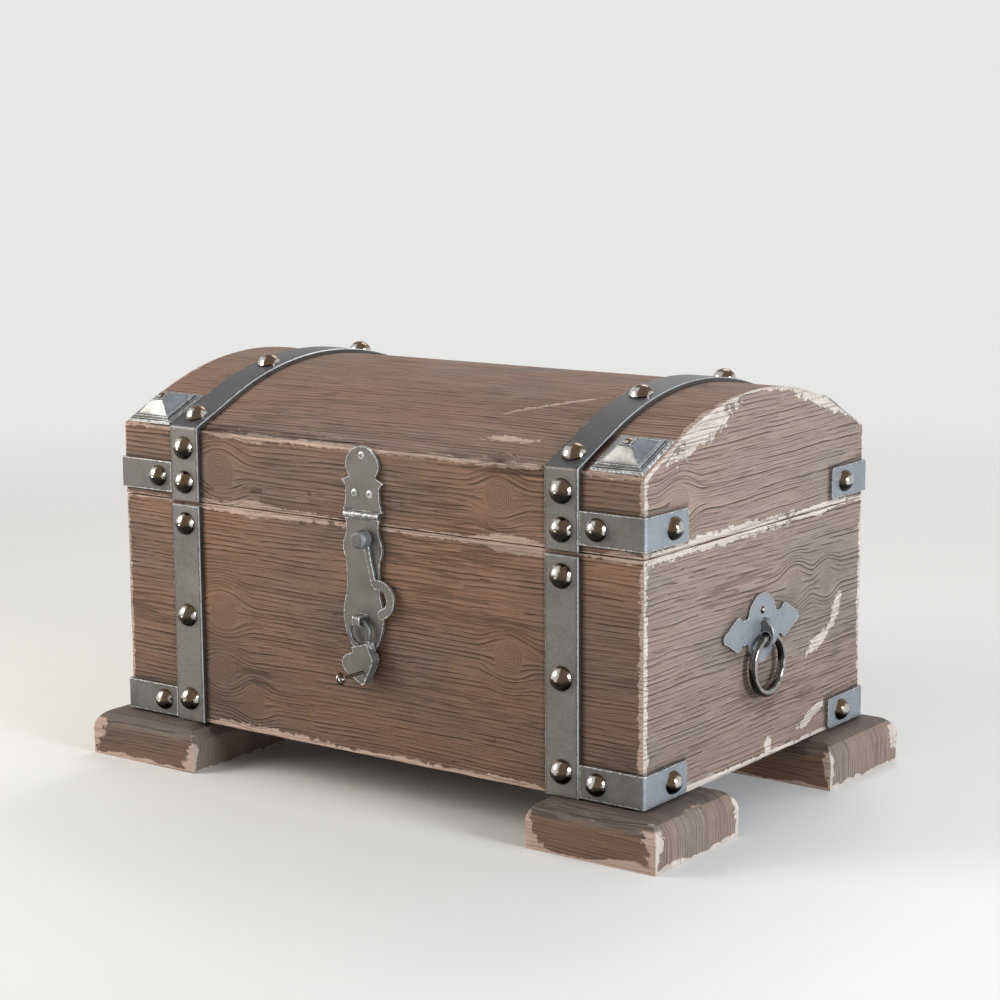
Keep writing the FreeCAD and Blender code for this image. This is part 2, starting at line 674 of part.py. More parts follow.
def eye_hole():
    """The hole for the eye's shank through the right end board and the plate."""
    start = Vector(HALF_LENGTH - BOARD - PAST, 0, LUG_Z)
    return cylinder(EYE_SHANK_RADIUS + HOLE_CLEAR, start, X_AXIS, BOARD + RING_PLATE + 2 * PAST)


# ---- hasp ----------------------------------------------------------------------------------------
def symmetric_outline(start, arcs, y):
    """Edges of a right half outline and its mirror image, through arcs from a start point."""
    edges = []
    for side in (1, -1):
        here = start
        for middle, end in arcs:
            points = [Vector(side * p[0], y, HASP_AXIS_Z + p[1]) for p in (here, middle, end)]
            edges.append(arc(*points))
            here = end
    return edges


def hasp_pin_hole():
    """The bore of the hasp's barrel."""
    half = HASP_BARREL_HALF + PAST
    return cylinder(HASP_PIN_RADIUS + PIN_CLEAR, Vector(-half, HASP_AXIS_Y, HASP_AXIS_Z), X_AXIS, 2 * half)


def hasp_top_plate():
    """The plate on the lid: round head, neck with two cusps, flared foot and two outer knuckles."""
    y = -HALF_DEPTH
    edges = symmetric_outline(HASP_CUSP, HASP_PLATE_ARCS, y)
    foot_half, foot_rise = HASP_PLATE_ARCS[-1][1]
    edges.append(line(*[Vector(s * foot_half, y, HASP_AXIS_Z + foot_rise) for s in (-1, 1)]))
    for side in (1, -1):
        head = Vector(side * HASP_HEAD_RADIUS, y, HASP_AXIS_Z + HASP_HEAD_RISE)
        neck = Vector(side * HASP_NECK[0], y, HASP_AXIS_Z + HASP_NECK[1])
        cusp = Vector(side * HASP_CUSP[0], y, HASP_AXIS_Z + HASP_CUSP[1])
        edges += [line(head, neck), line(neck, cusp)]
    head_ends = [Vector(s * HASP_HEAD_RADIUS, y, HASP_AXIS_Z + HASP_HEAD_RISE) for s in (1, -1)]
    head_top = Vector(0, y, HASP_AXIS_Z + HASP_HEAD_RISE + HASP_HEAD_RADIUS)
    edges.append(arc(head_ends[0], head_top, head_ends[1]))
    plate = prism(edges, Vector(0, -HASP_PLATE, 0))
    inner = HASP_KNUCKLE_HALF + HASP_KNUCKLE_GAP
    pieces = [plate]
    for x in (-HASP_BARREL_HALF, inner):
        width = HASP_BARREL_HALF - inner
        pieces.append(cylinder(HASP_BARREL_RADIUS, Vector(x, HASP_AXIS_Y, HASP_AXIS_Z), X_AXIS, width))
        pieces.append(block(x, x + width, y - HASP_PLATE, y, HASP_AXIS_Z, HASP_AXIS_Z + foot_rise + WELD))
    return union(pieces).cut(hasp_pin_hole())


def hasp_flap():
    """The long shaped flap on the front, with its middle knuckle."""
    top = -HASP_BARREL_RADIUS - HASP_KNUCKLE_GAP
    start = (FLAP_TOP_HALF, top)
    edges = symmetric_outline(start, FLAP_ARCS, FLAP_BACK)
    corners = [Vector(s * FLAP_TOP_HALF, FLAP_BACK, HASP_AXIS_Z + top) for s in (-1, 1)]
    edges.append(line(*corners))
    plate = prism(edges, Vector(0, -HASP_PLATE, 0))
    half = HASP_KNUCKLE_HALF
    barrel = cylinder(HASP_BARREL_RADIUS, Vector(-half, HASP_AXIS_Y, HASP_AXIS_Z), X_AXIS, 2 * half)
    tab = block(-half, half, FLAP_FRONT, FLAP_BACK, HASP_AXIS_Z + top - WELD, HASP_AXIS_Z)
    cuts = [hasp_pin_hole(), staple_pocket(), stud_hole()]
    return union([plate, barrel, tab]).cut(group(cuts))


def hasp_pin():
    """The pin through the hasp's three knuckles, with a small head at each end."""
    length = 2 * HASP_BARREL_HALF
    start = Vector(-HASP_BARREL_HALF, HASP_AXIS_Y, HASP_AXIS_Z)
    pieces = [cylinder(HASP_PIN_RADIUS, start, X_AXIS, length)]
    for x in (-HASP_BARREL_HALF - HASP_PIN_HEAD, HASP_BARREL_HALF):
        start = Vector(x, HASP_AXIS_Y, HASP_AXIS_Z)
        pieces.append(cylinder(HASP_PIN_HEAD_RADIUS, start, X_AXIS, HASP_PIN_HEAD))
    return union(pieces)


def hasp_screws():
    """Three round-headed screws through the plate on the lid."""
    shank = HASP_PLATE + SCREW_BITE
    run = Fastener(
        turned_head(HASP_SCREW_HEAD_RADIUS, HASP_SCREW_HEAD, SMALL_SKIRT, HASP_SCREW_RADIUS, shank),
        shank_hole(shank, HASP_SCREW_RADIUS),
    )
    face = -HALF_DEPTH - HASP_PLATE
    places = [(0, HASP_SCREW_HIGH_RISE)]
    places += [(side * HASP_SCREW_SIDE, HASP_SCREW_LOW_RISE) for side in (-1, 1)]
    for x, rise in places:
        run.drive(Vector(x, face, HASP_AXIS_Z + rise), FRONT)
    return run


# ---- stud, swing hook and staple -----------------------------------------------------------------
STUD_Z = HASP_AXIS_Z - STUD_DROP


def stud_hole():
    """The hole for the stud's shank through the flap."""
    start = Vector(STUD_X, FLAP_BACK + PAST, STUD_Z)
    return cylinder(STUD_RADIUS + HOLE_CLEAR, start, FRONT, HASP_PLATE + 2 * PAST)


def hasp_stud():
    """The mushroom stud that the hook turns on."""
    head_back = HOOK_BACK - HOOK - HOOK_SIDE_GAP
    shank = cylinder(STUD_RADIUS, Vector(STUD_X, FLAP_BACK, STUD_Z), FRONT, FLAP_BACK - head_back)
    head = cylinder(STUD_HEAD_RADIUS, Vector(STUD_X, head_back, STUD_Z), FRONT, STUD_HEAD)
    rim = [e for e in head.Edges if e.BoundBox.YMax < head_back - STUD_HEAD + NEAR]
    return union([shank, head.makeFillet(STUD_HEAD_ROUND, rim)])


def swing_hook():
    """The hook: an eye on the stud, a bar hanging from it and an open ring at its end."""
    y = HOOK_BACK
    eye_centre = Vector(STUD_X, y, STUD_Z)
    centre = Vector(STUD_X + HOOK_C_X, y, STUD_Z - HOOK_C_DROP)

    def on_ring(radius, degrees):
        turn = math.radians(degrees)
        return centre + Vector(radius * math.cos(turn), 0, radius * math.sin(turn))

    turns = (HOOK_C_FROM, (HOOK_C_FROM + HOOK_C_TO) / 2, HOOK_C_TO)
    outer_points = [on_ring(HOOK_C_RADIUS, turn) for turn in turns]
    inner_points = [on_ring(HOOK_C_THROAT, turn) for turn in turns]
    wire_middle = (HOOK_C_RADIUS + HOOK_C_THROAT) / 2
    tip = arc(outer_points[2], on_ring(wire_middle, HOOK_C_TO - HOOK_TIP_TURN), inner_points[2])
    root = line(inner_points[0], outer_points[0])
    ring_part = prism([arc(*outer_points), tip, arc(*inner_points), root], FRONT * HOOK)
    landing = on_ring(wire_middle, HOOK_C_FROM - HOOK_ROOT_TURN)
    side = (landing - eye_centre).cross(Y_AXIS).normalize() * (HOOK_BAR_WIDTH / 2)
    corners = [eye_centre - side, eye_centre + side, landing + side, landing - side]
    bar = polygon_prism(corners, FRONT * HOOK)
    eye = cylinder(HOOK_EYE_RADIUS, eye_centre, FRONT, HOOK)
    bore = cylinder(STUD_RADIUS + PIN_CLEAR, eye_centre - FRONT * PAST, FRONT, HOOK + 2 * PAST)
    return union([ring_part, bar, eye]).cut(bore)


STAPLE_TOP = SHACKLE_Z + SHACKLE_RADIUS + STAPLE_HEADROOM
STAPLE_LOW = SHACKLE_Z + SHACKLE_RADIUS - STAPLE_FOOTROOM
STAPLE_INNER_FRONT = PADLOCK_Y - STAPLE_FOOTROOM


def staple_block(room):
    """The staple's outside, or with no thickness its inside, from the flap's back to the front."""
    return block(
        PADLOCK_X - STAPLE_HALF_WIDTH, PADLOCK_X + STAPLE_HALF_WIDTH,
        STAPLE_INNER_FRONT - room, FLAP_BACK, STAPLE_LOW - room, STAPLE_TOP + room,
    )


def hasp_staple():
    """A bent strap whose two legs go into the flap, one above the other."""
    shape = staple_block(STAPLE)
    front = [e for e in shape.Edges if e.BoundBox.YMax < STAPLE_INNER_FRONT]
    bends = [e for e in front if e.BoundBox.XLength > STAPLE_HALF_WIDTH]
    return shape.makeFillet(STAPLE_BEND, bends).cut(staple_block(0))


def staple_pocket():
    """The two slots in the flap that the staple's legs fill."""
    return staple_block(STAPLE).cut(staple_block(0))


# ---- padlock -------------------------------------------------------------------------------------
ARCH = Vector(PADLOCK_X, PADLOCK_Y, SHACKLE_Z)
LEG_TURN = math.radians(SHACKLE_SWEEP_BELOW)
LEG_X = SHACKLE_RADIUS * math.cos(LEG_TURN)
LEG_TOP = -SHACKLE_RADIUS * math.sin(LEG_TURN)
LEG_FOOT = LEG_TOP - SHACKLE_FOOT


def tilted(shape):
    """A padlock piece, made hanging straight, leant about the middle of the shackle's arch."""
    leant = shape.copy()
    leant.rotate(ARCH, Y_AXIS, -PADLOCK_TILT)
    return leant


def padlock_shackle():
    """A round bow on two legs: one foot is an eye on the pivot pin, the other stands in a socket."""
    bow = Part.makeTorus(SHACKLE_RADIUS, SHACKLE_WIRE_RADIUS, ARCH, Y_AXIS)
    reach = 2 * SHACKLE_RADIUS
    below = block(
        PADLOCK_X - reach, PADLOCK_X + reach, PADLOCK_Y - reach, PADLOCK_Y + reach,
        SHACKLE_Z - reach, SHACKLE_Z + LEG_TOP,
    )
    pieces = [bow.cut(below)]
    for side in (-1, 1):
        shoulder = ARCH + Vector(side * LEG_X, 0, LEG_TOP + SHACKLE_SHOULDER)
        pieces.append(cylinder(SHACKLE_LEG_RADIUS, shoulder, -Z_AXIS, SHACKLE_FOOT + SHACKLE_SHOULDER))
    pivot = ARCH + Vector(-LEG_X, SHACKLE_LEG_RADIUS, LEG_FOOT)
    pieces.append(cylinder(SHACKLE_EYE_RADIUS, pivot, FRONT, 2 * SHACKLE_LEG_RADIUS))
    bore_length = 2 * (SHACKLE_LEG_RADIUS + PAST)
    bore = cylinder(SHACKLE_PIN_RADIUS + PIN_CLEAR, pivot - FRONT * PAST, FRONT, bore_length)
    return tilted(union(pieces).cut(bore))


def heart_outline(y):
    """The padlock's front outline: two round lobes, straight sides and a small round tip."""
    def point(x, z):
        return Vector(PADLOCK_X - HEART_ASIDE + x, y, SHACKLE_Z + z)

    lobe_z, tip_z = -HEART_LOBE_DROP, -HEART_TIP_DROP + HEART_TIP_ROUND
    run = math.hypot(HEART_LOBE_X, lobe_z - tip_z)
    lean = math.atan2(HEART_LOBE_X, lobe_z - tip_z) + math.asin((HEART_LOBE_RADIUS - HEART_TIP_ROUND) / run)
    out = (math.cos(lean), -math.sin(lean))
    edges = []
    for side in (1, -1):
        high = point(side * HEART_LOBE_X, lobe_z + HEART_LOBE_RADIUS)
        wide = point(side * (HEART_LOBE_X + HEART_LOBE_RADIUS), lobe_z)
        low = point(side * (HEART_LOBE_X + HEART_LOBE_RADIUS * out[0]), lobe_z + HEART_LOBE_RADIUS * out[1])
        toe = point(side * HEART_TIP_ROUND * out[0], tip_z + HEART_TIP_ROUND * out[1])
        edges += [arc(high, wide, low), line(low, toe)]
    tips = [point(s * HEART_TIP_ROUND * out[0], tip_z + HEART_TIP_ROUND * out[1]) for s in (1, -1)]
    edges.append(arc(tips[0], point(0, -HEART_TIP_DROP), tips[1]))
    edges.append(line(*[point(s * HEART_LOBE_X, lobe_z + HEART_LOBE_RADIUS) for s in (1, -1)]))
    return edges


def padlock_body():
    """The heart-shaped case: collar, the shackle's slot, its pin through both cheeks, socket, keyway."""
    back, front = PADLOCK_Y + PADLOCK / 2, PADLOCK_Y - PADLOCK / 2
    case = prism(heart_outline(back), Vector(0, -PADLOCK, 0))
    collar = block(
        PADLOCK_X - COLLAR_HALF, PADLOCK_X + COLLAR_HALF, front, back,
        SHACKLE_Z - COLLAR_TOP - COLLAR_DEPTH, SHACKLE_Z - COLLAR_TOP,
    )
    half = SHACKLE_LEG_RADIUS + SHACKLE_SLOT_GAP
    reach = SHACKLE_EYE_RADIUS + SHACKLE_SLOT_GAP
    back_side, front_side = PADLOCK_Y + half, PADLOCK_Y - half
    slot = block(
        PADLOCK_X - HEART_ASIDE - HEART_LOBE_X - HEART_LOBE_RADIUS - PAST, PADLOCK_X - LEG_X + reach,
        front_side, back_side, SHACKLE_Z + LEG_FOOT - reach, SHACKLE_Z,
    )
    socket = block(
        PADLOCK_X + LEG_X - half - SHACKLE_SOCKET_REACH, PADLOCK_X + LEG_X + half,
        front_side, back_side, SHACKLE_Z + LEG_FOOT - SHACKLE_SLOT_GAP, SHACKLE_Z,
    )
    pin_start = Vector(PADLOCK_X - LEG_X, back, SHACKLE_Z + LEG_FOOT)
    pin = cylinder(SHACKLE_PIN_RADIUS, pin_start, FRONT, PADLOCK)
    body = union([case, collar]).cut(group([slot, socket]))
    body = union([body, pin]).cut(key_way())
    return tilted(body)


KEY_X = PADLOCK_X - HEART_ASIDE + KEY_SIDE
KEY_Z = SHACKLE_Z - KEY_DROP
KEY_FRONT = PADLOCK_Y - PADLOCK / 2
KEY_TIP_Y = PADLOCK_Y + PADLOCK / 2 - KEY_TIP_WALL


def key_way():
    """The key's bore, its slot for the bit and the round room that the bit turns in."""
    end = Vector(KEY_X, KEY_TIP_Y + PIN_CLEAR, KEY_Z)
    bore = cylinder(KEY_SHAFT_RADIUS + HOLE_CLEAR, end, FRONT, PADLOCK)
    gap = HOLE_CLEAR * 2
    half = KEY_BIT_WIDTH / 2 + gap
    slot = block(
        KEY_X - half, KEY_X + half, KEY_FRONT - PAST, KEY_TIP_Y, KEY_Z - KEY_BIT_REACH - gap, KEY_Z,
    )
    room = cylinder(KEY_BIT_REACH + 2 * gap, end, FRONT, KEY_BIT_LENGTH + 2 * gap)
    return union([bore, slot, room])


def padlock_key():
    """The key in the lock: a shaft, a bit at its tip, and a ring bow standing out in front."""
    bow_y = KEY_FRONT - KEY_OUT
    shaft_length = KEY_TIP_Y - bow_y - KEY_BOW_RADIUS + PAST
    shaft = cylinder(KEY_SHAFT_RADIUS, Vector(KEY_X, KEY_TIP_Y, KEY_Z), FRONT, shaft_length)
    half, bit_front = KEY_BIT_WIDTH / 2, KEY_TIP_Y - KEY_BIT_LENGTH
    bit = block(KEY_X - half, KEY_X + half, bit_front, KEY_TIP_Y, KEY_Z - KEY_BIT_REACH, KEY_Z)
    bow = Part.makeTorus(KEY_BOW_RADIUS, KEY_BOW_WIRE, Vector(KEY_X, bow_y, KEY_Z), X_AXIS)
    return tilted(union([shaft, bit, bow]))


# ---- back hinges ---------------------------------------------------------------------------------
def hinge_bore(x):
    """The bore of one hinge's barrel."""
    half = HINGE_HALF + PAST
    start = Vector(x - half, HINGE_AXIS_Y, HINGE_AXIS_Z)
    return cylinder(HINGE_PIN_RADIUS + PIN_CLEAR, start, X_AXIS, 2 * half)


def hinge_leaf(x, up):
    """One leaf: up = 1 is the lid's, with the middle knuckle; up = -1 is the body's, with the outer two."""
    edge = HINGE_BARREL_RADIUS + HINGE_KNUCKLE_GAP
    near, far = HINGE_AXIS_Z + up * edge, HINGE_AXIS_Z + up * HINGE_LEAF_HEIGHT
    y0, y1 = HALF_DEPTH, HALF_DEPTH + HINGE_LEAF
    pieces = [block(x - HINGE_HALF, x + HINGE_HALF, y0, y1, min(near, far), max(near, far))]
    inner = HINGE_KNUCKLE_HALF
    spans = [(x - inner, x + inner)] if up > 0 else [
        (x - HINGE_HALF, x - inner - HINGE_KNUCKLE_GAP),
        (x + inner + HINGE_KNUCKLE_GAP, x + HINGE_HALF),
    ]
    for a, b in spans:
        pieces.append(cylinder(HINGE_BARREL_RADIUS, Vector(a, HINGE_AXIS_Y, HINGE_AXIS_Z), X_AXIS, b - a))
        root = HINGE_AXIS_Z + up * HINGE_BARREL_GAP
        tip = near + up * WELD
        pieces.append(block(a, b, y0, y1, min(root, tip), max(root, tip)))
    return union(pieces).cut(hinge_bore(x))


def hinge_screws(up):
    """The screws of both leaves on one side of the seam."""
    shank = HINGE_LEAF + SCREW_BITE
    run = Fastener(
        turned_head(HINGE_SCREW_HEAD_RADIUS, HINGE_SCREW_HEAD, SMALL_SKIRT, HINGE_SCREW_RADIUS, shank),
        shank_hole(shank, HINGE_SCREW_RADIUS),
    )
    for _, side in SIDES:
        for reach in (-HINGE_SCREW_X, HINGE_SCREW_X):
            z = HINGE_AXIS_Z + up * HINGE_SCREW_RISE
            run.drive(Vector(side * HINGE_X + reach, HALF_DEPTH + HINGE_LEAF, z), Y_AXIS)
    return run


def hinge_pins():
    """The two hinge pins."""
    starts = [Vector(side * HINGE_X - HINGE_HALF, HINGE_AXIS_Y, HINGE_AXIS_Z) for _, side in SIDES]
    return group([cylinder(HINGE_PIN_RADIUS, start, X_AXIS, 2 * HINGE_HALF) for start in starts])


# ---- nails' places -------------------------------------------------------------------------------
def drive_both(run, point, outward):
    """Drive a nail at the front and its twin at the back."""
    run.drive(point, outward)
    run.drive(Vector(-point.x, -point.y, point.z), Vector(-outward.x, -outward.y, outward.z))


def body_strap_nails():
    """Three domed nails down each body strap."""
    run = Fastener(strap_nail(), shank_hole(STRAP + NAIL_BITE))
    heights = [BODY_TOP - BODY_NAIL_TOP_DROP]
    heights += [BODY_BOTTOM + rise for rise in (BODY_NAIL_MIDDLE_RISE, BODY_NAIL_LOW_RISE)]
    for _, side in SIDES:
        for z in heights:
            drive_both(run, Vector(side * STRAP_X, -HALF_DEPTH - STRAP, z), FRONT)
    return run


def lid_strap_nails():
    """Domed nails on each lid strap: two on each wall, one on each flank and two on the crown."""
    run = Fastener(strap_nail(), shank_hole(STRAP + NAIL_BITE))
    turn = math.asin(CROWN_NAIL_Y / (CROWN_RADIUS + STRAP))
    for _, side in SIDES:
        x = side * STRAP_X
        for z in (ARRIS_Z - LID_NAIL_HIGH_DROP, LID_BOTTOM + LID_NAIL_LOW_RISE):
            drive_both(run, Vector(x, -HALF_DEPTH - STRAP, z), FRONT)
        drive_both(run, across(x, flank_point(FLANK_NAIL_RUN, STRAP)), FLANK_OUT)
        drive_both(run, across(x, crown(-turn, STRAP)), Vector(0, -math.sin(turn), math.cos(turn)))
    return run


def bracket_nails(low):
    """Two nails in each corner bracket of one tier."""
    run = Fastener(bracket_nail(), shank_hole(BRACKET + NAIL_BITE))
    z = low + BRACKET_HEIGHT / 2
    for _, side in SIDES:
        on_front = Vector(side * (HALF_LENGTH - BRACKET_NAIL_FRONT), -HALF_DEPTH - BRACKET, z)
        on_end = Vector(side * (HALF_LENGTH + BRACKET), -HALF_DEPTH + BRACKET_NAIL_SIDE, z)
        drive_both(run, on_front, FRONT)
        drive_both(run, on_end, Vector(side, 0, 0))
    return run


def boss_places():
    """Where the front bosses sit, left and right."""
    return {side: across(side * BOSS_X, flank_point(BOSS_UPSLOPE)) for _, side in SIDES}


def boss_nails():
    """One small nail through the middle of each boss."""
    run = Fastener(boss_nail(), shank_hole(BOSS_TOP + NAIL_BITE))
    for point in boss_places().values():
        drive_both(run, point + FLANK_OUT * BOSS_TOP, FLANK_OUT)
    return run


def ring_plate_nails():
    """One small nail high on each ring plate."""
    shank = RING_PLATE + NAIL_BITE
    run = Fastener(
        turned_head(RING_NAIL_RADIUS, RING_NAIL_HEIGHT, SMALL_SKIRT, RING_NAIL_SHANK_RADIUS, shank),
        shank_hole(shank, RING_NAIL_SHANK_RADIUS),
    )
    for _, side in SIDES:
        place = Vector(side * (HALF_LENGTH + RING_PLATE), 0, RING_PLATE_Z + RING_NAIL_RISE)
        run.drive(place, Vector(side, 0, 0))
    return run


# ---- assembly ------------------------------------------------------------------------------------
def build_body():
    """Everything that stands still: walls, floor, feet, body ironwork and the body's half of the hinges."""
    parts = {}
    strap_run, screw_run, plate_run = body_strap_nails(), foot_screws(), ring_plate_nails()
    bracket_low = BODY_BOTTOM + BODY_BRACKET_RISE
    bracket_run, hinge_run = bracket_nails(bracket_low), hinge_screws(-1)
    planks = floor_planks()
    front, end = mitred_plan(BODY_BOTTOM, BODY_TOP), end_plan(BODY_BOTTOM, BODY_TOP)
    floor = group(planks)
    walls = {
        "body_front_board": front.cut(floor),
        "body_back_board": half_turn(front).cut(floor),
        "body_left_end_board": half_turn(end).cut(floor).cut(mirrored(eye_hole())),
        "body_right_end_board": end.cut(floor).cut(eye_hole()),
    }
    for name, wall in walls.items():
        parts[name] = drill(wall, strap_run, screw_run, plate_run, bracket_run, hinge_run)
    for index, plank in enumerate(planks):
        parts[f"floor_plank_{index + 1}"] = plank
    feet = four_corners(lambda side: foot() if side > 0 else mirrored(foot()))
    for place, shape in feet.items():
        parts[f"foot_{place}"] = drill(shape, screw_run)
    parts["foot_screws"] = group(screw_run.solids)
    straps = four_corners(lambda side: body_strap() if side > 0 else mirrored(body_strap()))
    for place, shape in straps.items():
        parts[f"body_strap_{place}"] = drill(shape, strap_run)
    parts["body_strap_nails"] = group(strap_run.solids)
    bracket = corner_bracket(bracket_low)
    brackets = four_corners(lambda side: bracket if side > 0 else mirrored(bracket))
    parts["body_corner_brackets"] = group([drill(b, bracket_run) for b in brackets.values()])
    parts["body_bracket_nails"] = group(bracket_run.solids)
    for name, side in SIDES:
        own = (lambda s: s) if side > 0 else mirrored
        parts[f"ring_plate_{name}"] = drill(own(ring_plate().cut(eye_hole())), plate_run)
        parts[f"ring_eye_{name}"] = own(ring_eye())
    parts["ring_plate_nails"] = group(plate_run.solids)
    parts["hinge_body_leaves"] = group([drill(hinge_leaf(s * HINGE_X, -1), hinge_run) for _, s in SIDES])
    parts["hinge_pins"] = hinge_pins()
    parts["hinge_body_screws"] = group(hinge_run.solids)
    return parts


def build_lid():
    """The lid's boards and staves, its ironwork and its half of the back hinges and of the hasp."""
    parts = {}
    strap_run, boss_run = lid_strap_nails(), boss_nails()
    screw_run, hinge_run = hasp_screws(), hinge_screws(1)
    bracket_low = LID_BOTTOM + LID_BRACKET_RISE
    bracket_run = bracket_nails(bracket_low)
    runs = (strap_run, boss_run, screw_run, hinge_run, bracket_run)
    front_stave, front_rail = flank_stave(), rail()
    staves = [front_stave] + [crown_stave(i) for i in range(CROWN_STAVES)] + [half_turn(front_stave)]
    back_rail = half_turn(front_rail)
    end = arch_block(HALF_LENGTH - BOARD, HALF_LENGTH).cut(group(staves + [front_rail, back_rail]))
    boards = {"lid_front_rail": front_rail, "lid_back_rail": back_rail}
    boards.update({"lid_left_end_board": half_turn(end), "lid_right_end_board": end})
    boards.update({f"lid_stave_{i + 1}": stave for i, stave in enumerate(staves)})
    for name, board in boards.items():
        parts[name] = drill(board, *runs)
    for name, side in SIDES:
        strap = lid_strap() if side > 0 else mirrored(lid_strap())
        parts[f"lid_strap_{name}"] = drill(strap, strap_run)
    parts["lid_strap_nails"] = group(strap_run.solids)
    bracket = corner_bracket(bracket_low)
    brackets = four_corners(lambda side: bracket if side > 0 else mirrored(bracket))
    parts["lid_corner_brackets"] = group([drill(b, bracket_run) for b in brackets.values()])
    parts["lid_bracket_nails"] = group(bracket_run.solids)
    bosses = four_corners(lambda side: at(pyramid_boss(), boss_places()[side], FLANK_OUT))
    parts["lid_corner_bosses"] = group([drill(boss, boss_run) for boss in bosses.values()])
    parts["lid_boss_nails"] = group(boss_run.solids)
    parts["hasp_top_plate"] = drill(hasp_top_plate(), screw_run)
    parts["hasp_screws"] = group(screw_run.solids)
    parts["hasp_pin"] = hasp_pin()
    parts["hinge_lid_leaves"] = group([drill(hinge_leaf(s * HINGE_X, 1), hinge_run) for _, s in SIDES])
    parts["hinge_lid_screws"] = group(hinge_run.solids)
    return parts


def build_moving():
    """The hasp's flap and what it carries, the padlock and the two rings."""
    return {
        "hasp_flap": hasp_flap(),
        "hasp_stud": hasp_stud(),
        "hasp_staple": hasp_staple(),
        "swing_hook": swing_hook(),
        "padlock_shackle": padlock_shackle(),
        "padlock_body": padlock_body(),
        "padlock_key": padlock_key(),
        "ring_left": mirrored(ring()),
        "ring_right": ring(),
    }


def main():
    """Build every piece and write each to its own file."""
    os.makedirs("parts", exist_ok=True)
    parts = {**build_body(), **build_lid(), **build_moving()}
    for name, shape in parts.items():
        shape.exportStep(f"parts/{name}.step")
    faults = [name for name, shape in parts.items() if not shape.isValid()]
    print(len(parts), "nodes,", sum(len(s.Solids) for s in parts.values()), "solids; not valid:", faults)


if __name__ == "__main__":
    main()
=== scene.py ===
"""A small ark chest: boards, feet, arched lid, iron straps, ring handles, hasp and padlock."""
from __future__ import annotations

import logging
import math
from dataclasses import dataclass, field
from enum import Enum
from typing import Callable, ClassVar, Iterable

import bmesh
import bpy
from mathutils import Matrix, Vector, noise


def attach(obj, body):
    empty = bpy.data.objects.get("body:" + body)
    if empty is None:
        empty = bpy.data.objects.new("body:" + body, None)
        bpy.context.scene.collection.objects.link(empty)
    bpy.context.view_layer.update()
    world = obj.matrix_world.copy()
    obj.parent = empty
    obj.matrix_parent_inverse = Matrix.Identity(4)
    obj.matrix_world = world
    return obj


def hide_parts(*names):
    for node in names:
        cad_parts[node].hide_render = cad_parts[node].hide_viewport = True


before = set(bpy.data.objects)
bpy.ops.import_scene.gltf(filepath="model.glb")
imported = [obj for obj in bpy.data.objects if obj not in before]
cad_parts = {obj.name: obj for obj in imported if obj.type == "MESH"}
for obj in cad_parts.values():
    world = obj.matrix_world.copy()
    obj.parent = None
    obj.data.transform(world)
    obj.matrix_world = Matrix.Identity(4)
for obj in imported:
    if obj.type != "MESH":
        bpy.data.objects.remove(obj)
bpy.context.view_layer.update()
LOG = logging.getLogger("chest")
MM = 0.001
Colour = tuple[float, float, float]
Place = tuple[float, float, float]
RIGHTWARD: Place = (1.0, 0.0, 0.0)
BACKWARD: Place = (0.0, 1.0, 0.0)
UPWARD: Place = (0.0, 0.0, 1.0)
HALF_LENGTH = 300 * MM
HALF_DEPTH = 190.5 * MM
LEFT, RIGHT = -HALF_LENGTH, HALF_LENGTH
FRONT, BACK = -HALF_DEPTH, HALF_DEPTH
STRAP_X = 218.5 * MM
STRAP_HALF = 17.5 * MM
EDGE_CUTS = (0.7 * MM, 1.6 * MM, 2.8 * MM, 4.4 * MM)


# ---------------------------------------------------------------- node graphs
class Wire:
    """A number or vector flowing through a material's nodes, with the usual arithmetic."""

    def __init__(self, graph: "Graph", socket: bpy.types.NodeSocket) -> None:
        """Hold a socket of a graph."""
        self.graph, self.socket = graph, socket

    def __add__(self, other: "Wire | float") -> "Wire":
        """Sum."""
        return self.graph.math("ADD", self, other)

    def __sub__(self, other: "Wire | float") -> "Wire":
        """Difference."""
        return self.graph.math("SUBTRACT", self, other)

    def __rsub__(self, other: float) -> "Wire":
        """Difference, number first."""
        return self.graph.math("SUBTRACT", other, self)

    def __mul__(self, other: "Wire | float") -> "Wire":
        """Product."""
        return self.graph.math("MULTIPLY", self, other)

    def __truediv__(self, other: "Wire | float") -> "Wire":
        """Quotient."""
        return self.graph.math("DIVIDE", self, other)

    def __abs__(self) -> "Wire":
        """Size without sign."""
        return self.graph.math("ABSOLUTE", self)

    def power(self, exponent: float) -> "Wire":
        """Raised to an exponent."""
        return self.graph.math("POWER", self, exponent)

    def smaller(self, other: "Wire | float") -> "Wire":
        """The smaller of the two."""
        return self.graph.math("MINIMUM", self, other)

    def larger(self, other: "Wire | float") -> "Wire":
        """The larger of the two."""
        return self.graph.math("MAXIMUM", self, other)

    def above(self, limit: float) -> "Wire":
        """1 above the limit, else 0."""
        return self.graph.math("GREATER_THAN", self, limit)

    def fraction(self) -> "Wire":
        """The part after the decimal point."""
        return self.graph.math("FRACT", self)

    def whole(self) -> "Wire":
        """The whole part."""
        return self.graph.math("FLOOR", self)

    def ramp(self, start: "Wire | float", end: "Wire | float") -> "Wire":
        """Smooth step from 0 at start to 1 at end; start may be the larger."""
        node = self.graph.node("ShaderNodeMapRange", interpolation_type="SMOOTHSTEP")
        self.graph.feed(node.inputs["Value"], self)
        self.graph.feed(node.inputs["From Min"], start)
        self.graph.feed(node.inputs["From Max"], end)
        return Wire(self.graph, node.outputs["Result"])


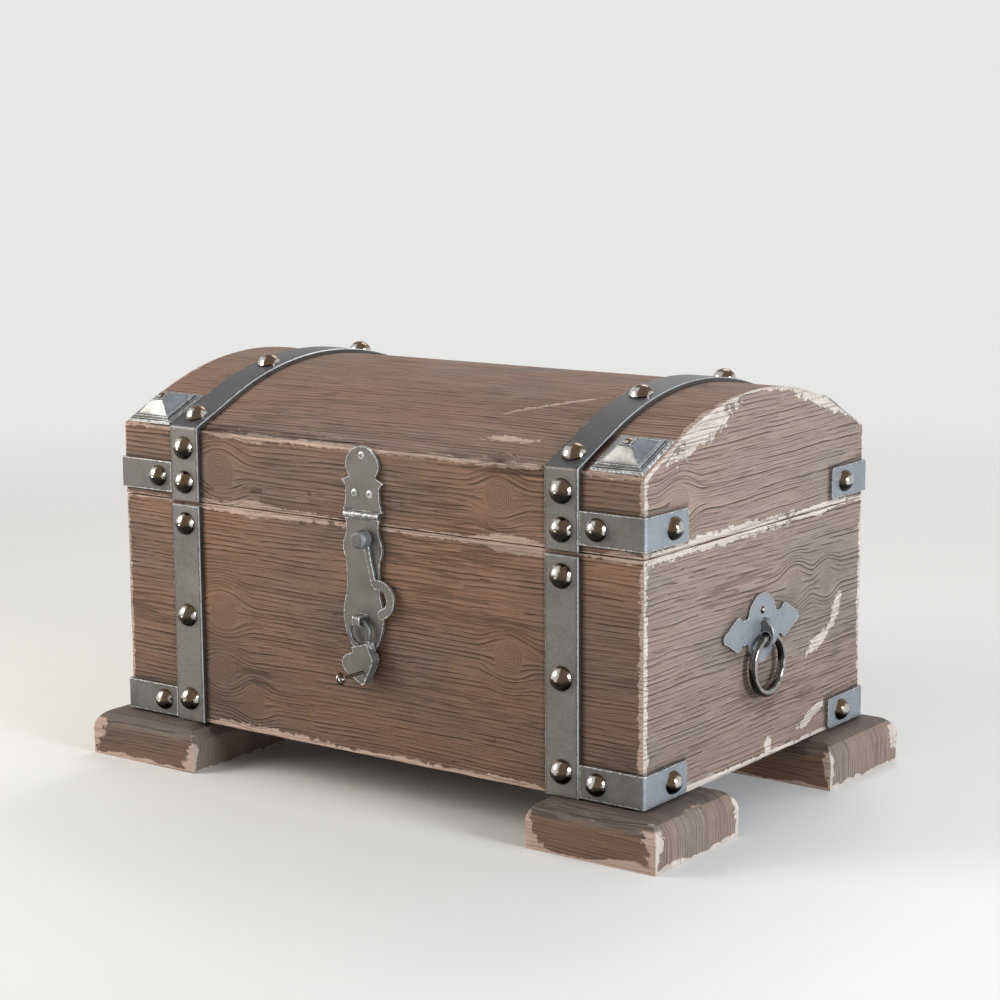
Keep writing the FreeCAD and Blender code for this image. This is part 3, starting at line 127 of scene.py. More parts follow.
class Graph:
    """One material's node tree, with its surface shader ready."""

    def __init__(self, name: str) -> None:
        """Start an empty tree that ends in a principled surface."""
        self.material = bpy.data.materials.new(name)
        self.material.use_nodes = True
        self.tree = self.material.node_tree
        self.tree.nodes.clear()
        self.output = self.node("ShaderNodeOutputMaterial")
        self.surface = self.node("ShaderNodeBsdfPrincipled")
        self.tree.links.new(self.surface.outputs["BSDF"], self.output.inputs["Surface"])
        self.places = self.node("ShaderNodeTexCoord")

    def node(self, kind: str, **settings: object) -> bpy.types.Node:
        """Add a node and set its properties."""
        made = self.tree.nodes.new(kind)
        for key, value in settings.items():
            setattr(made, key, value)
        return made

    def feed(self, socket: bpy.types.NodeSocket, value: object) -> None:
        """Join a wire to a socket, or set the socket's own value."""
        if isinstance(value, Wire):
            self.tree.links.new(value.socket, socket)
        elif value is not None:
            socket.default_value = value

    def set(self, **values: object) -> None:
        """Feed the surface's sockets, named with underscores for spaces."""
        for key, value in values.items():
            self.feed(self.surface.inputs[key.replace("_", " ")], value)

    def where(self, output: str = "Object") -> Wire:
        """The object's own coordinates, or its normal."""
        return Wire(self, self.places.outputs[output])

    def facing(self) -> Wire:
        """The way the face itself points, in the object's own space."""
        shape = self.node("ShaderNodeNewGeometry")
        turn = self.node("ShaderNodeVectorTransform", vector_type="NORMAL")
        turn.convert_from, turn.convert_to = "WORLD", "OBJECT"
        self.tree.links.new(shape.outputs["True Normal"], turn.inputs[0])
        return Wire(self, turn.outputs[0])

    def number(self, value: float) -> Wire:
        """A constant, where a running result starts."""
        return self.blend(0.0, value, value)

    def math(self, operation: str, a: object, b: object = None) -> Wire:
        """One arithmetic step."""
        node = self.node("ShaderNodeMath", operation=operation)
        self.feed(node.inputs[0], a)
        self.feed(node.inputs[1], b)
        return Wire(self, node.outputs[0])

    def split(self, vector: Wire) -> list[Wire]:
        """A vector's three numbers."""
        node = self.node("ShaderNodeSeparateXYZ")
        self.feed(node.inputs[0], vector)
        return [Wire(self, socket) for socket in node.outputs]

    def join(self, *numbers: "Wire | float") -> Wire:
        """A vector from three numbers."""
        node = self.node("ShaderNodeCombineXYZ")
        for socket, number in zip(node.inputs, numbers):
            self.feed(socket, number)
        return Wire(self, node.outputs[0])

    def vector(self, operation: str, a: object, b: object = None, scale: object = None) -> Wire:
        """One step of vector arithmetic."""
        node = self.node("ShaderNodeVectorMath", operation=operation)
        self.feed(node.inputs[0], a)
        self.feed(node.inputs[1], b)
        self.feed(node.inputs[3], scale)
        number = operation in ("DISTANCE", "DOT_PRODUCT", "LENGTH")
        return Wire(self, node.outputs["Value" if number else "Vector"])

    def blend(self, factor: "Wire | float", a: object, b: object) -> Wire:
        """A number between two."""
        node = self.node("ShaderNodeMix", data_type="FLOAT")
        for socket, value in zip(node.inputs[:1] + node.inputs[2:4], (factor, a, b)):
            self.feed(socket, value)
        return Wire(self, node.outputs[0])

    def mix(self, factor: "Wire | float", a: object, b: object) -> Wire:
        """A colour between two."""
        node = self.node("ShaderNodeMix", data_type="RGBA")
        self.feed(node.inputs[0], factor)
        for socket, value in ((node.inputs[6], a), (node.inputs[7], b)):
            self.feed(socket, (*value, 1.0) if isinstance(value, tuple) else value)
        return Wire(self, node.outputs[2])

    def shade(self, colour: "Wire | Colour", factor: "Wire | float") -> Wire:
        """A colour made lighter or darker."""
        return self.vector("SCALE", colour, scale=factor)

    def noise(
        self, vector: Wire, scale: float = 1.0, detail: float = 2.0, rough: float = 0.5
    ) -> Wire:
        """Cloudy noise, about 0.5 on average."""
        node = self.node("ShaderNodeTexNoise")
        self.feed(node.inputs["Vector"], vector)
        for key, value in (("Scale", scale), ("Detail", detail), ("Roughness", rough)):
            node.inputs[key].default_value = value
        return Wire(self, node.outputs["Fac"])

    def openness(self, distance: float, samples: int, inside: bool = False) -> Wire:
        """How open a place is, 1 in the open, looked at from outside or from inside the solid."""
        node = self.node("ShaderNodeAmbientOcclusion", inside=inside, only_local=True)
        node.samples = samples
        node.inputs["Distance"].default_value = distance
        return Wire(self, node.outputs["AO"])

    def relief(self, height: Wire, distance: float, strength: float = 1.0) -> None:
        """Bump the surface by a height."""
        node = self.node("ShaderNodeBump")
        node.inputs["Distance"].default_value = distance
        node.inputs["Strength"].default_value = strength
        self.feed(node.inputs["Height"], height)
        self.tree.links.new(node.outputs["Normal"], self.surface.inputs["Normal"])


# ---------------------------------------------------------------- outer shapes
def _side(value: float) -> float:
    """-1 or 1, the side of zero that a number is on."""
    return -1.0 if value < 0 else 1.0


@dataclass(frozen=True)
class BodyHull:
    """The body's outside: four walls from the bottom edge to the seam."""

    half_length: float = HALF_LENGTH
    half_depth: float = HALF_DEPTH
    bottom: float = 44 * MM
    top: float = 259.6 * MM
    bracket_z: float = 60.5 * MM

    def planes(self, p: Vector) -> list[tuple[float, Vector]]:
        """How deep a point lies under each outer face, and the way inward from that face."""
        return [
            (self.half_length - abs(p.x), Vector((-_side(p.x), 0, 0))),
            (self.half_depth - abs(p.y), Vector((0, -_side(p.y), 0))),
            (p.z - self.bottom, Vector((0, 0, 1))),
            (self.top - p.z, Vector((0, 0, -1))),
        ]

    def depths(self, x: Wire, y: Wire, z: Wire) -> list[Wire]:
        """The same depths, in a material."""
        return [self.half_length - abs(x), self.half_depth - abs(y), z - self.bottom, self.top - z]


@dataclass(frozen=True)
class LidHull:
    """The lid's outside: upright walls, sloping flanks and a round crown."""

    half_length: float = HALF_LENGTH
    half_depth: float = HALF_DEPTH
    bottom: float = 260 * MM
    arris: float = 329.3 * MM
    crown_half: float = 138 * MM
    flank: float = math.radians(24.95)
    bracket_z: float = 281.5 * MM

    @property
    def radius(self) -> float:
        """The crown's radius."""
        return self.crown_half / math.sin(self.flank)

    @property
    def centre(self) -> float:
        """The height of the crown's centre."""
        run = self.half_depth - self.crown_half
        return self.arris + run * math.tan(self.flank) - self.radius * math.cos(self.flank)

    def planes(self, p: Vector) -> list[tuple[float, Vector]]:
        """How deep a point lies under each outer face, and the way inward from that face."""
        side = _side(p.y)
        sine, cosine = math.sin(self.flank), math.cos(self.flank)
        if abs(p.y) > self.crown_half:
            rise = (self.half_depth - abs(p.y)) * sine - (p.z - self.arris) * cosine
            roof = (rise, Vector((0, -side * sine, -cosine)))
        else:
            arm = Vector((0, p.y, p.z - self.centre))
            roof = (self.radius - arm.length, -arm.normalized())
        return [
            (self.half_length - abs(p.x), Vector((-_side(p.x), 0, 0))),
            (self.half_depth - abs(p.y), Vector((0, -side, 0))),
            (p.z - self.bottom, Vector((0, 0, 1))),
            roof,
        ]

    def depths(self, x: Wire, y: Wire, z: Wire) -> list[Wire]:
        """The same depths, in a material."""
        graph = x.graph
        sine, cosine = math.sin(self.flank), math.cos(self.flank)
        flank = (self.half_depth - abs(y)) * sine - (z - self.arris) * cosine
        crown = self.radius - graph.vector("LENGTH", graph.join(0.0, y, z - self.centre))
        roof = graph.blend(abs(y).above(self.crown_half), crown, flank)
        return [self.half_length - abs(x), self.half_depth - abs(y), z - self.bottom, roof]


@dataclass(frozen=True)
class FootHull:
    """A foot's outside, for all four feet at once."""

    centre_x: float = 262.8 * MM
    centre_y: float = 150 * MM
    half_x: float = 66.8 * MM
    half_y: float = 67 * MM
    height: float = 44 * MM

    def planes(self, p: Vector) -> list[tuple[float, Vector]]:
        """How deep a point lies under each outer face, and the way inward from that face."""
        dx, dy = abs(p.x) - self.centre_x, abs(p.y) - self.centre_y
        return [
            (self.half_x - abs(dx), Vector((-_side(dx) * _side(p.x), 0, 0))),
            (self.half_y - abs(dy), Vector((0, -_side(dy) * _side(p.y), 0))),
            (p.z, Vector((0, 0, 1))),
            (self.height - p.z, Vector((0, 0, -1))),
        ]

    def depths(self, x: Wire, y: Wire, z: Wire) -> list[Wire]:
        """The same depths, in a material."""
        return [
            self.half_x - abs(abs(x) - self.centre_x),
            self.half_y - abs(abs(y) - self.centre_y),
            z,
            self.height - z,
        ]


Hull = BodyHull | LidHull | FootHull


# ---------------------------------------------------------------- finishes
@dataclass(frozen=True)
class Knot:
    """A knot on an upright face: where it is and how far its rings reach."""

    place: Place
    reach: float


@dataclass(frozen=True)
class Scrape:
    """A scraped or grimy patch: its middle, the way it runs, and its half length and half width."""

    place: Place
    along: Place
    half_length: float
    half_width: float

    def reach(self, g: Graph, place: Wire) -> Wire:
        """How far out a place lies: 0 in the middle, 1 on the rim."""
        off = g.vector("SUBTRACT", place, self.place)
        run = g.vector("DOT_PRODUCT", off, self.along)
        span = g.vector("LENGTH", off)
        beside = (span * span - run * run).larger(0.0).power(0.5)
        length_share, width_share = run / self.half_length, beside / self.half_width
        return (length_share.power(2.0) + width_share.power(2.0)).power(0.5)


@dataclass(frozen=True)
class Weave:
    """Noise stretched along the grain: how often it changes each way, and how fine it is."""

    along: float
    across: float
    shift: float = 0.0
    detail: float = 2.0
    rough: float = 0.5

    def on(self, g: Graph, u: Wire, v: Wire, layer: Wire) -> Wire:
        """The noise at a place on a face, about 0.5 on average."""
        spot = g.join(u * self.along, v * self.across, layer + self.shift)
        return g.noise(spot, detail=self.detail, rough=self.rough)


@dataclass(frozen=True)
class GrainLines:
    """Broken lines along the grain: pitch, half width, depth, breaks per metre and their own shift."""

    pitch: float
    half: float
    depth: float
    breaks: float
    shift: float
    soft_rim: float = 0.32 * MM
    crest_at: float = 1.15 * MM
    crest_reach: float = 0.95 * MM
    crest_flat: float = 0.20 * MM

    def cross(self, g: Graph, u: Wire, v: Wire, around: Wire, layer: Wire) -> tuple[Wire, Wire]:
        """The lines' groove and the crest beside it, on the side the light comes from, which the
        wood's colour lightens as a painted highlight.

        Args:
            g: the graph.
            u, v: along and across the grain.
            around: across the grain, bent round the knots.
            layer: a number that differs from face to face.

        Returns:
            How deep the groove is and how high the crest is.
        """
        uneven = Weave(1.5, 48.0, self.shift).on(g, u, v, layer) - 0.5
        rows = around / self.pitch + uneven * 2.0
        row = rows.whole()
        off = (rows - row - 0.5) * self.pitch
        here = Weave(self.breaks, 3.7, self.shift, 3.0, 0.6).on(g, u, row, layer).ramp(0.36, 0.56)
        force = Weave(2.0, 5.3, self.shift).on(g, u, row, layer).ramp(0.30, 0.60)
        strong = here * (force * 0.65 + 0.35)
        line = abs(off).ramp(strong * self.half + self.soft_rim, strong * self.half * 0.3)
        crest = abs(off - self.crest_at).ramp(self.crest_reach, self.crest_flat)
        return line * strong * self.depth, crest * strong * self.depth


@dataclass(frozen=True)
class StainedWood:
    """Weathered stained boards with raised grain, pale where the edges are worn, with painted light:
    darker towards the bottom, lightened grain crests, and painted shade beside the iron.
    """

    name: str
    hull: Hull
    seed: float
    end_turned: bool = False
    folded: bool = False
    knots: tuple[Knot, ...] = ()
    scrapes: tuple[Scrape, ...] = ()
    # patches of painted shade mixed with grime
    shade_and_grime_patches: tuple[Scrape, ...] = ()
    front_tone: Colour = (0.218, 0.120, 0.073)
    front_grey: Colour = (0.158, 0.099, 0.069)
    top_tone: Colour = (0.200, 0.114, 0.077)
    top_grey: Colour = (0.178, 0.118, 0.089)
    end_tone: Colour = (0.262, 0.182, 0.148)
    end_grey: Colour = (0.228, 0.178, 0.152)
    front_worn: Colour = (0.520, 0.375, 0.300)
    end_worn: Colour = (0.560, 0.490, 0.440)
    ring_pitch: float = 4.3 * MM
    ring_depth: float = 1.0
    knot_pitch: float = 2.3 * MM
    end_from: float = 0.6
    top_from: float = 0.3
    end_layer: float = 5.1
    top_layer: float = 9.3
    face_layer: float = 2.7
    relief: float = 1.5 * MM
    gloss: float = 0.34
    skin: float = 5.0 * MM
    worn_edge: float = 1.8 * MM
    worn_patch: float = 8.0 * MM
    worn_ragged: float = 8.5 * MM
    scrape_ragged: float = 3.6
    # how far the painted shade and grime reach beside straps and brackets, and how far the painted
    # shadow on the feet reaches
    strap_shade_and_grime: float = 7.0 * MM
    bracket_half: float = 14.5 * MM
    bracket_front: float = 236.6 * MM
    bracket_end: float = 126 * MM
    bracket_shade_and_grime: float = 6.0 * MM
    foot_shadow: float = 9.0 * MM
    patches: Weave = Weave(4.0, 9.0, 7.0, 3.0)
    clouds: Weave = Weave(12.0, 26.0, 8.0, 4.0, 0.6)
    fibres: Weave = Weave(45.0, 900.0)
    grits: Weave = Weave(420.0, 900.0, 0.0, 3.0, 0.6)
    slow_waves: Weave = Weave(3.0, 12.0)
    quick_waves: Weave = Weave(24.0, 60.0, 0.0, 3.0)
    streaks: Weave = Weave(7.0, 150.0, 5.0)
    streak_patches: Weave = Weave(5.0, 26.0, 5.0)
    splits: Weave = Weave(24.0, 330.0, 9.0)
    split_patches: Weave = Weave(7.0, 11.0, 1.0)

    def material(self) -> bpy.types.Material:
        """Build the finish.

        Returns:
            The material.
        """
        g = Graph(self.name)
        place = g.where()
        x, y, z = g.split(place)
        nx, _, nz = (abs(n) for n in g.split(g.facing()))
        on_end = nx.above(self.end_from)
        on_top = nz.above(self.top_from) * (1.0 - on_end)
        upward = nz.ramp(0.15, 0.60) * (1.0 - on_end)
        end_u, end_v = (z, y) if self.end_turned else (y, z)
        u = g.blend(on_end, x, end_u)
        v = g.blend(on_end, g.blend(on_top, z, y), end_v)
        face = g.blend(on_end, y.above(0.0), x.above(0.0))
        layer = on_end * self.end_layer + on_top * self.top_layer + face * self.face_layer
        layer = layer + self.seed

        groove, crest, calm = self.grain(g, place, u, v, layer)
        patch = self.patches.on(g, u, v, layer)
        cloud = self.clouds.on(g, u, v, layer) - 0.5
        fibre = self.fibres.on(g, u, v, layer) - 0.5
        grit = self.grits.on(g, u, v, layer) - 0.5
        worn, ragged, skin = self.wear(g, place, x, y, z)

        fresh = g.mix(upward, g.mix(on_end, self.front_tone, self.end_tone), self.top_tone)
        grey = g.mix(upward, g.mix(on_end, self.front_grey, self.end_grey), self.top_grey)
        # painted light: the wood is darker towards the bottom, from 0.80 up to 1.12 on fronts, backs
        # and tops, and from 0.86 to 0.98 on the ends
        lit = z.ramp(0.030, 0.300) * (0.32 - on_end * 0.20) + on_end * 0.06 + 0.80
        tone = g.shade(g.mix(patch.ramp(0.62, 0.34), fresh, grey), lit)
        tone = g.shade(tone, cloud * 0.55 + fibre * 0.34 + grit * 0.30 + 1.04)
        # painted highlight: the crest beside each groove is lightened; the grooves darken as the
        # grain's own dark lines
        tone = g.shade(tone, (1.0 - groove * 0.62) * (crest * 0.26 + 1.0))
        pale = g.mix(on_end, self.front_worn, self.end_worn)
        pale = g.shade(pale, fibre * 0.5 + grit * 0.8 + cloud * 0.3 + 1.0)
        tone = g.mix(worn * (1.0 - groove * 0.28), tone, pale)
        # painted shade mixed with grime close beside straps and brackets, and painted shadow on the
        # feet's tops under the chest
        tone = g.shade(tone, 1.0 - self.shade_and_grime_by_iron(g, x, y, z, on_end) * skin * 0.55)
        # painted shade mixed with grime: darker patches round the hasp, the ring plate and the ring
        for shade_and_grime_patch in self.shade_and_grime_patches:
            patch_shade_and_grime = (shade_and_grime_patch.reach(g, place) + cloud * 0.8).ramp(1.15, 0.75)
            tone = g.shade(tone, 1.0 - patch_shade_and_grime * skin * 0.28)

        height = groove * -0.80 + crest * 0.25 + fibre * 0.12 + grit * 0.08
        height = height + patch * 0.3 + calm * 0.4 - worn * 0.35 + ragged * worn * 0.7
        g.relief(height, self.relief)
        g.set(Base_Color=tone, Roughness=groove * 0.14 + patch * 0.20 + worn * 0.10 + 0.50)
        g.set(Specular_IOR_Level=self.gloss)
        return g.material

    def grain(self, g: Graph, place: Wire, u: Wire, v: Wire, layer: Wire) -> tuple[Wire, Wire, Wire]:
        """Brushed grain: broken lines, each with a crest beside it on the lit side that is painted as
        a highlight, and rings round the knots.

        Args:
            g: the graph.
            place: the place.
            u, v: along and across the grain.
            layer: a number that differs from face to face.

        Returns:
            How deep the groove is, how high the crest is, and the slow wave that both follow.
        """
        slow = self.slow_waves.on(g, u, v, layer) - 0.5
        quick = self.quick_waves.on(g, u, v, layer) - 0.5
        around, own = v + slow * 0.017 + quick * 0.0024, g.number(0.0)
        core, clear, free = g.number(0.0), g.number(1.0), g.number(1.0)
        for knot in self.knots:
            far = g.vector("DISTANCE", place, knot.place)
            pull = far.ramp(knot.reach * 2.6, knot.reach * 0.4) * free
            around = around - (v - knot.place[2]) * pull * 0.72
            free = free - pull
            inside = far.ramp(knot.reach * 1.15, knot.reach * 0.85)
            ring = (far + quick * 0.0055 + slow * 0.008) / self.knot_pitch
            own = g.blend(inside.above(0.001), own, ring)
            core = core.larger(inside)
            clear = clear.smaller(far.ramp(knot.reach * 0.80, knot.reach * 1.25))

        groove = crest = g.number(0.0)
        bold = GrainLines(self.ring_pitch, 0.42 * MM, self.ring_depth, 17.0, 3.0)
        fine = GrainLines(self.ring_pitch * 0.53, 0.26 * MM, self.ring_depth * 0.36, 34.0, 17.0)
        for lines in (bold, fine):
            sunk, raised = lines.cross(g, u, v, around, layer)
            groove, crest = groove.larger(sunk * clear), crest.larger(raised * clear)
        rings = abs(own.fraction() * 2.0 - 1.0)
        groove = groove.larger(rings.ramp(0.42, 0.95) * core * 0.36)
        crest = crest.larger(rings.ramp(0.40, 0.02) * core * 0.24)

        streak = abs(self.streaks.on(g, u, around, layer) - 0.5)
        streaky = self.streak_patches.on(g, u, v, layer).ramp(0.50, 0.62) * clear
        groove = groove.larger((1.0 - streak * 26.0).larger(0.0) * streaky * 0.7)
        split = self.splits.on(g, u, around, layer).ramp(0.685, 0.72)
        split = split * self.split_patches.on(g, u, v, layer).ramp(0.50, 0.60)
        return groove.larger(split * 1.15), crest, slow

    def wear(self, g: Graph, place: Wire, x: Wire, y: Wire, z: Wire) -> tuple[Wire, Wire, Wire]:
        """Pale wood where edges are rubbed and faces scraped.

        Args:
            g: the graph.
            place: the place.
            x, y, z: its three numbers.

        Returns:
            How worn it is, the raggedness of the worn edge, and 1 on the outer skin.
        """
        depths = self.hull.depths(x, y, z)
        low = depths[0].smaller(depths[1]), depths[2].smaller(depths[3])
        high = depths[0].larger(depths[1]), depths[2].larger(depths[3])
        edge = low[0].larger(low[1]).smaller(high[0].smaller(high[1]))
        skin = low[0].smaller(low[1]).ramp(self.skin, self.skin * 0.6)
        flecks = g.vector("MULTIPLY", place, (95.0, 95.0, 150.0))
        ragged = g.noise(flecks, detail=7.0, rough=0.68) - 0.5
        broad = g.noise(place, scale=9.0, detail=4.0, rough=0.6).ramp(0.44, 0.70)
        width = broad * self.worn_patch + self.worn_edge
        worn = (edge + ragged * self.worn_ragged).ramp(width * 1.10, width * 0.85) * skin
        if self.folded:
            place = g.vector("ABSOLUTE", place)
        for scrape in self.scrapes:
            reach = scrape.reach(g, place) + ragged * self.scrape_ragged
            worn = worn.larger(reach.ramp(1.10, 0.88) * skin)
        return worn * 0.94, ragged, skin

    def shade_and_grime_by_iron(self, g: Graph, x: Wire, y: Wire, z: Wire, on_end: Wire) -> Wire:
        """Painted shade mixed with grime in the wood close beside straps and brackets, and painted
        shadow on feet beside the walls.

        Args:
            g: the graph.
            x, y, z: the place.
            on_end: 1 on the chest's ends.

        Returns:
            1 against the iron, 0 a few millimetres away.
        """
        if isinstance(self.hull, FootHull):
            # painted shadow: the upper part of each foot is darkened under and just outside the
            # chest's walls
            near = (abs(x) - HALF_LENGTH).larger(abs(y) - HALF_DEPTH)
            return near.ramp(self.foot_shadow, -2.0 * MM) * z.above(30 * MM) * 0.75
        beside = abs(abs(x) - STRAP_X) - STRAP_HALF
        strap = beside.ramp(self.strap_shade_and_grime, 0.0) * (1.0 - on_end)
        rise = abs(z - self.hull.bracket_z) - self.bracket_half
        reach = g.blend(on_end, self.bracket_front - abs(x), self.bracket_end - abs(y))
        return strap.larger(rise.larger(reach).ramp(self.bracket_shade_and_grime, 0.0))


@dataclass(frozen=True)
class Iron:
    """A metal: its colour on fronts and ends, where the end colour is painted light, how rough and
    mottled it is, and its rubbed rim with painted shade beside it.
    """

    name: str
    tone: Colour
    end_tone: Colour
    rough: float
    mottle: float
    scratch: float
    rough_spread: float = 0.18
    sheen: float = 0.75
    rim: float = 0.0
    rim_shade: float = 0.42
    rim_tone: Colour = (0.66, 0.67, 0.67)

    def material(self) -> bpy.types.Material:
        """Build the finish.

        Returns:
            The material.
        """
        g = Graph(self.name)
        place = g.where()
        nx, _, _ = g.split(g.where("Normal"))
        cloud = g.noise(place, scale=38.0, detail=6.0, rough=0.62)
        speck = g.noise(place, scale=420.0, detail=3.0, rough=0.6)
        brushed = g.vector("MULTIPLY", place, (900.0, 900.0, 60.0))
        line = g.noise(brushed, detail=3.0, rough=0.7)
        dull = cloud.ramp(0.62, 0.36)
        level = 1.0 - dull * self.mottle * 0.55 + (speck - 0.5) * self.mottle * 0.9
        # painted light: faces turned towards the ends take the end tone, lighter and bluer on most
        # metals and darker on the bosses
        tone = g.shade(g.mix(abs(nx).ramp(0.22, 0.50), self.tone, self.end_tone), level)
        bright = painted_shade = g.number(0.0)
        if self.rim:
            bright, painted_shade = self.rubbed(g, place)
            chipped = g.shade(self.rim_tone, speck.ramp(0.36, 0.62) * 0.6 + 0.45)
            # painted shade beside the rim and in corners darkens the colour
            tone = g.shade(g.mix(bright, tone, chipped), 1.0 - painted_shade * self.rim_shade)
        g.set(Base_Color=tone, Metallic=self.sheen)
        rough = dull * self.rough_spread + (line - 0.5) * self.scratch
        g.set(Roughness=rough - bright * 0.1 + self.rough)
        height = cloud * 0.5 + speck * self.mottle * 0.4 + line * self.scratch - painted_shade * 0.4
        g.relief(height, 0.30 * MM, 0.5)
        return g.material

    def rubbed(self, g: Graph, place: Wire) -> tuple[Wire, Wire]:
        """The rim rubbed bright, and painted shade beside it and in corners.

        Args:
            g: the graph.
            place: the place.

        Returns:
            How bright the rim is, and how dark the painted shade is.
        """
        near = g.openness(self.rim, 8, inside=True)
        fray = (g.noise(place, scale=300.0, detail=4.0, rough=0.7) - 0.5) * near.ramp(1.0, 0.90)
        bright = (near + fray * 1.10).ramp(0.86, 0.66)
        # painted shade: a dark line just inside the rubbed rim
        painted_shade = (near + fray * 0.30).ramp(0.97, 0.86) * (1.0 - bright)
        # painted shade in concave corners, found by ambient occlusion
        corner_shade = g.openness(self.rim * 1.6, 6)
        return bright, painted_shade.larger(corner_shade.ramp(0.985, 0.84))


@dataclass(frozen=True)
class Nickel:
    """Polished nickel, a dark brown patina that also stands in for the wood's reflection, with painted
    highlights at its sides and a painted dark reflection, nearly black, underneath.
    """

    name: str = "dark_nickel"
    tone: Colour = (0.125, 0.088, 0.056)
    highlight_tone: Colour = (0.560, 0.545, 0.515)
    underside_shade_tone: Colour = (0.022, 0.020, 0.019)

    def material(self) -> bpy.types.Material:
        """Build the finish.

        Returns:
            The material.
        """
        g = Graph(self.name)
        place = g.where()
        nx, _, up = g.split(g.where("Normal"))
        speck = g.noise(place, scale=260.0, detail=4.0, rough=0.65)
        wander = (g.noise(place, scale=150.0, detail=2.0) - 0.5) * 0.40
        across, rise = nx + wander, up + wander
        # painted highlights: where the surface faces little towards the right end, on its upper part
        # below the very top, and where it faces the right end, a little below the middle
        front = across.ramp(0.30, 0.12) * rise.ramp(-0.02, 0.16) * up.ramp(0.86, 0.70)
        rubbed = front.larger(across.ramp(0.76, 0.88) * rise.ramp(-0.35, -0.08))
        # painted dark reflection: faces turned downward go nearly black
        tone = g.mix(rise.ramp(0.18, -0.30), self.tone, self.underside_shade_tone)
        tone = g.shade(g.mix(rubbed, tone, self.highlight_tone), speck * 0.7 + 0.65)
        g.set(Base_Color=tone, Metallic=1.0, Roughness=speck * 0.14 + 0.07)
        g.relief(speck, 0.10 * MM, 0.35)
        return g.material


@dataclass(frozen=True)
class StrapSteel:
    """Satin strap: mottled grey, darker on top as a painted dark reflection, with a painted highlight
    along its edges and painted shade just inside them.
    """

    name: str = "satin_strap_steel"
    tone: Colour = (0.180, 0.171, 0.160)
    # painted dark reflection: top-facing faces take this darker tone
    top_tone: Colour = (0.092, 0.091, 0.096)
    side_tone: Colour = (0.150, 0.145, 0.140)
    edge_highlight_tone: Colour = (0.42, 0.44, 0.46)
    sheen: float = 0.70
    seam_z: float = 256.0 * MM

    def material(self) -> bpy.types.Material:
        """Build the finish.

        Returns:
            The material.
        """
        g = Graph(self.name)
        place = g.where()
        x, _, z = g.split(place)
        nx, _, up = g.split(g.where("Normal"))
        inset = STRAP_HALF - abs(abs(x) - STRAP_X)
        cloud = g.noise(place, scale=24.0, detail=7.0, rough=0.66)
        speck = g.noise(place, scale=500.0, detail=3.0)
        ragged = g.noise(place, scale=170.0, detail=5.0, rough=0.65) - 0.5
        # painted highlight: a thin bright line along the long edges and at the seam, not on faces
        # turned to the ends; painted shade: a dark band just inside the long edges
        edge = inset.smaller(abs(z - self.seam_z)) + ragged * 2.6 * MM
        bright = edge.ramp(1.05 * MM, 0.70 * MM) * abs(nx).ramp(0.95, 0.80)
        painted_shade = (inset + ragged * 1.4 * MM).ramp(2.8 * MM, 2.0 * MM) * (1.0 - bright)
        rubs = g.vector("MULTIPLY", place, (140.0, 60.0, 60.0))
        scuff = g.noise(rubs, detail=5.0, rough=0.7).ramp(0.60, 0.74)
        # painted dark reflection: faces turned upward take the darker top tone
        face = g.mix(up.ramp(0.15, 0.75), self.tone, self.top_tone)
        face = g.mix(abs(nx).ramp(0.80, 0.95), face, self.side_tone)
        level = cloud * 0.90 + (speck - 0.5) * 0.40 + scuff * up.larger(0.0) * 0.5 + 0.54
        tone = g.shade(g.mix(bright, g.shade(face, level), self.edge_highlight_tone), speck * 0.4 + 0.8)
        tone = g.shade(tone, 1.0 - painted_shade * 0.34)
        g.set(Base_Color=tone, Metallic=self.sheen)
        g.set(Roughness=cloud * 0.25 + 0.34 - bright * 0.08)
        g.relief(cloud * 0.6 + speck * 0.15 - painted_shade * 0.5 + scuff * 0.2, 0.3 * MM, 0.5)
        return g.material


class Metal(Enum):
    """The chest's metals."""

    # each metal's second colour is painted light on faces turned towards the ends
    WORN = Iron(
        "worn_iron", (0.168, 0.160, 0.152), (0.320, 0.345, 0.380), 0.42, 0.34, 0.10, rim=1.9 * MM)
    WORN_EDGE = Iron("rubbed_iron_edge", (0.60, 0.61, 0.61), (0.66, 0.68, 0.70), 0.30, 0.85, 0.08)
    # painted light: pale front faces and darker, bluer end-facing faces, with strong painted shade
    # along the steps
    BOSS = Iron(
        "boss_iron", (0.420, 0.412, 0.400), (0.235, 0.252, 0.285), 0.38, 0.60, 0.10,
        rim=2.2 * MM, rim_shade=0.88)
    SATIN = Iron(
        "satin_hasp_iron", (0.176, 0.168, 0.156), (0.22, 0.22, 0.21), 0.44, 0.22, 0.12,
        rim=1.7 * MM)
    PLAIN = Iron("plain_iron", (0.120, 0.116, 0.110), (0.20, 0.21, 0.22), 0.30, 0.30, 0.08)
    RING = Nickel("ring_nickel", (0.075, 0.068, 0.060), (0.34, 0.33, 0.32))
    NICKEL = Nickel()


Finish = StainedWood | StrapSteel | Metal


class Finishes:
    """Every finish, built once and kept by name."""

    made: ClassVar[dict[str, bpy.types.Material]] = {}

    @classmethod
    def of(cls, finish: Finish) -> bpy.types.Material:
        """The material of a finish, built on first use."""
        source = finish.value if isinstance(finish, Metal) else finish
        if source.name not in cls.made:
            cls.made[source.name] = source.material()
        return cls.made[source.name]


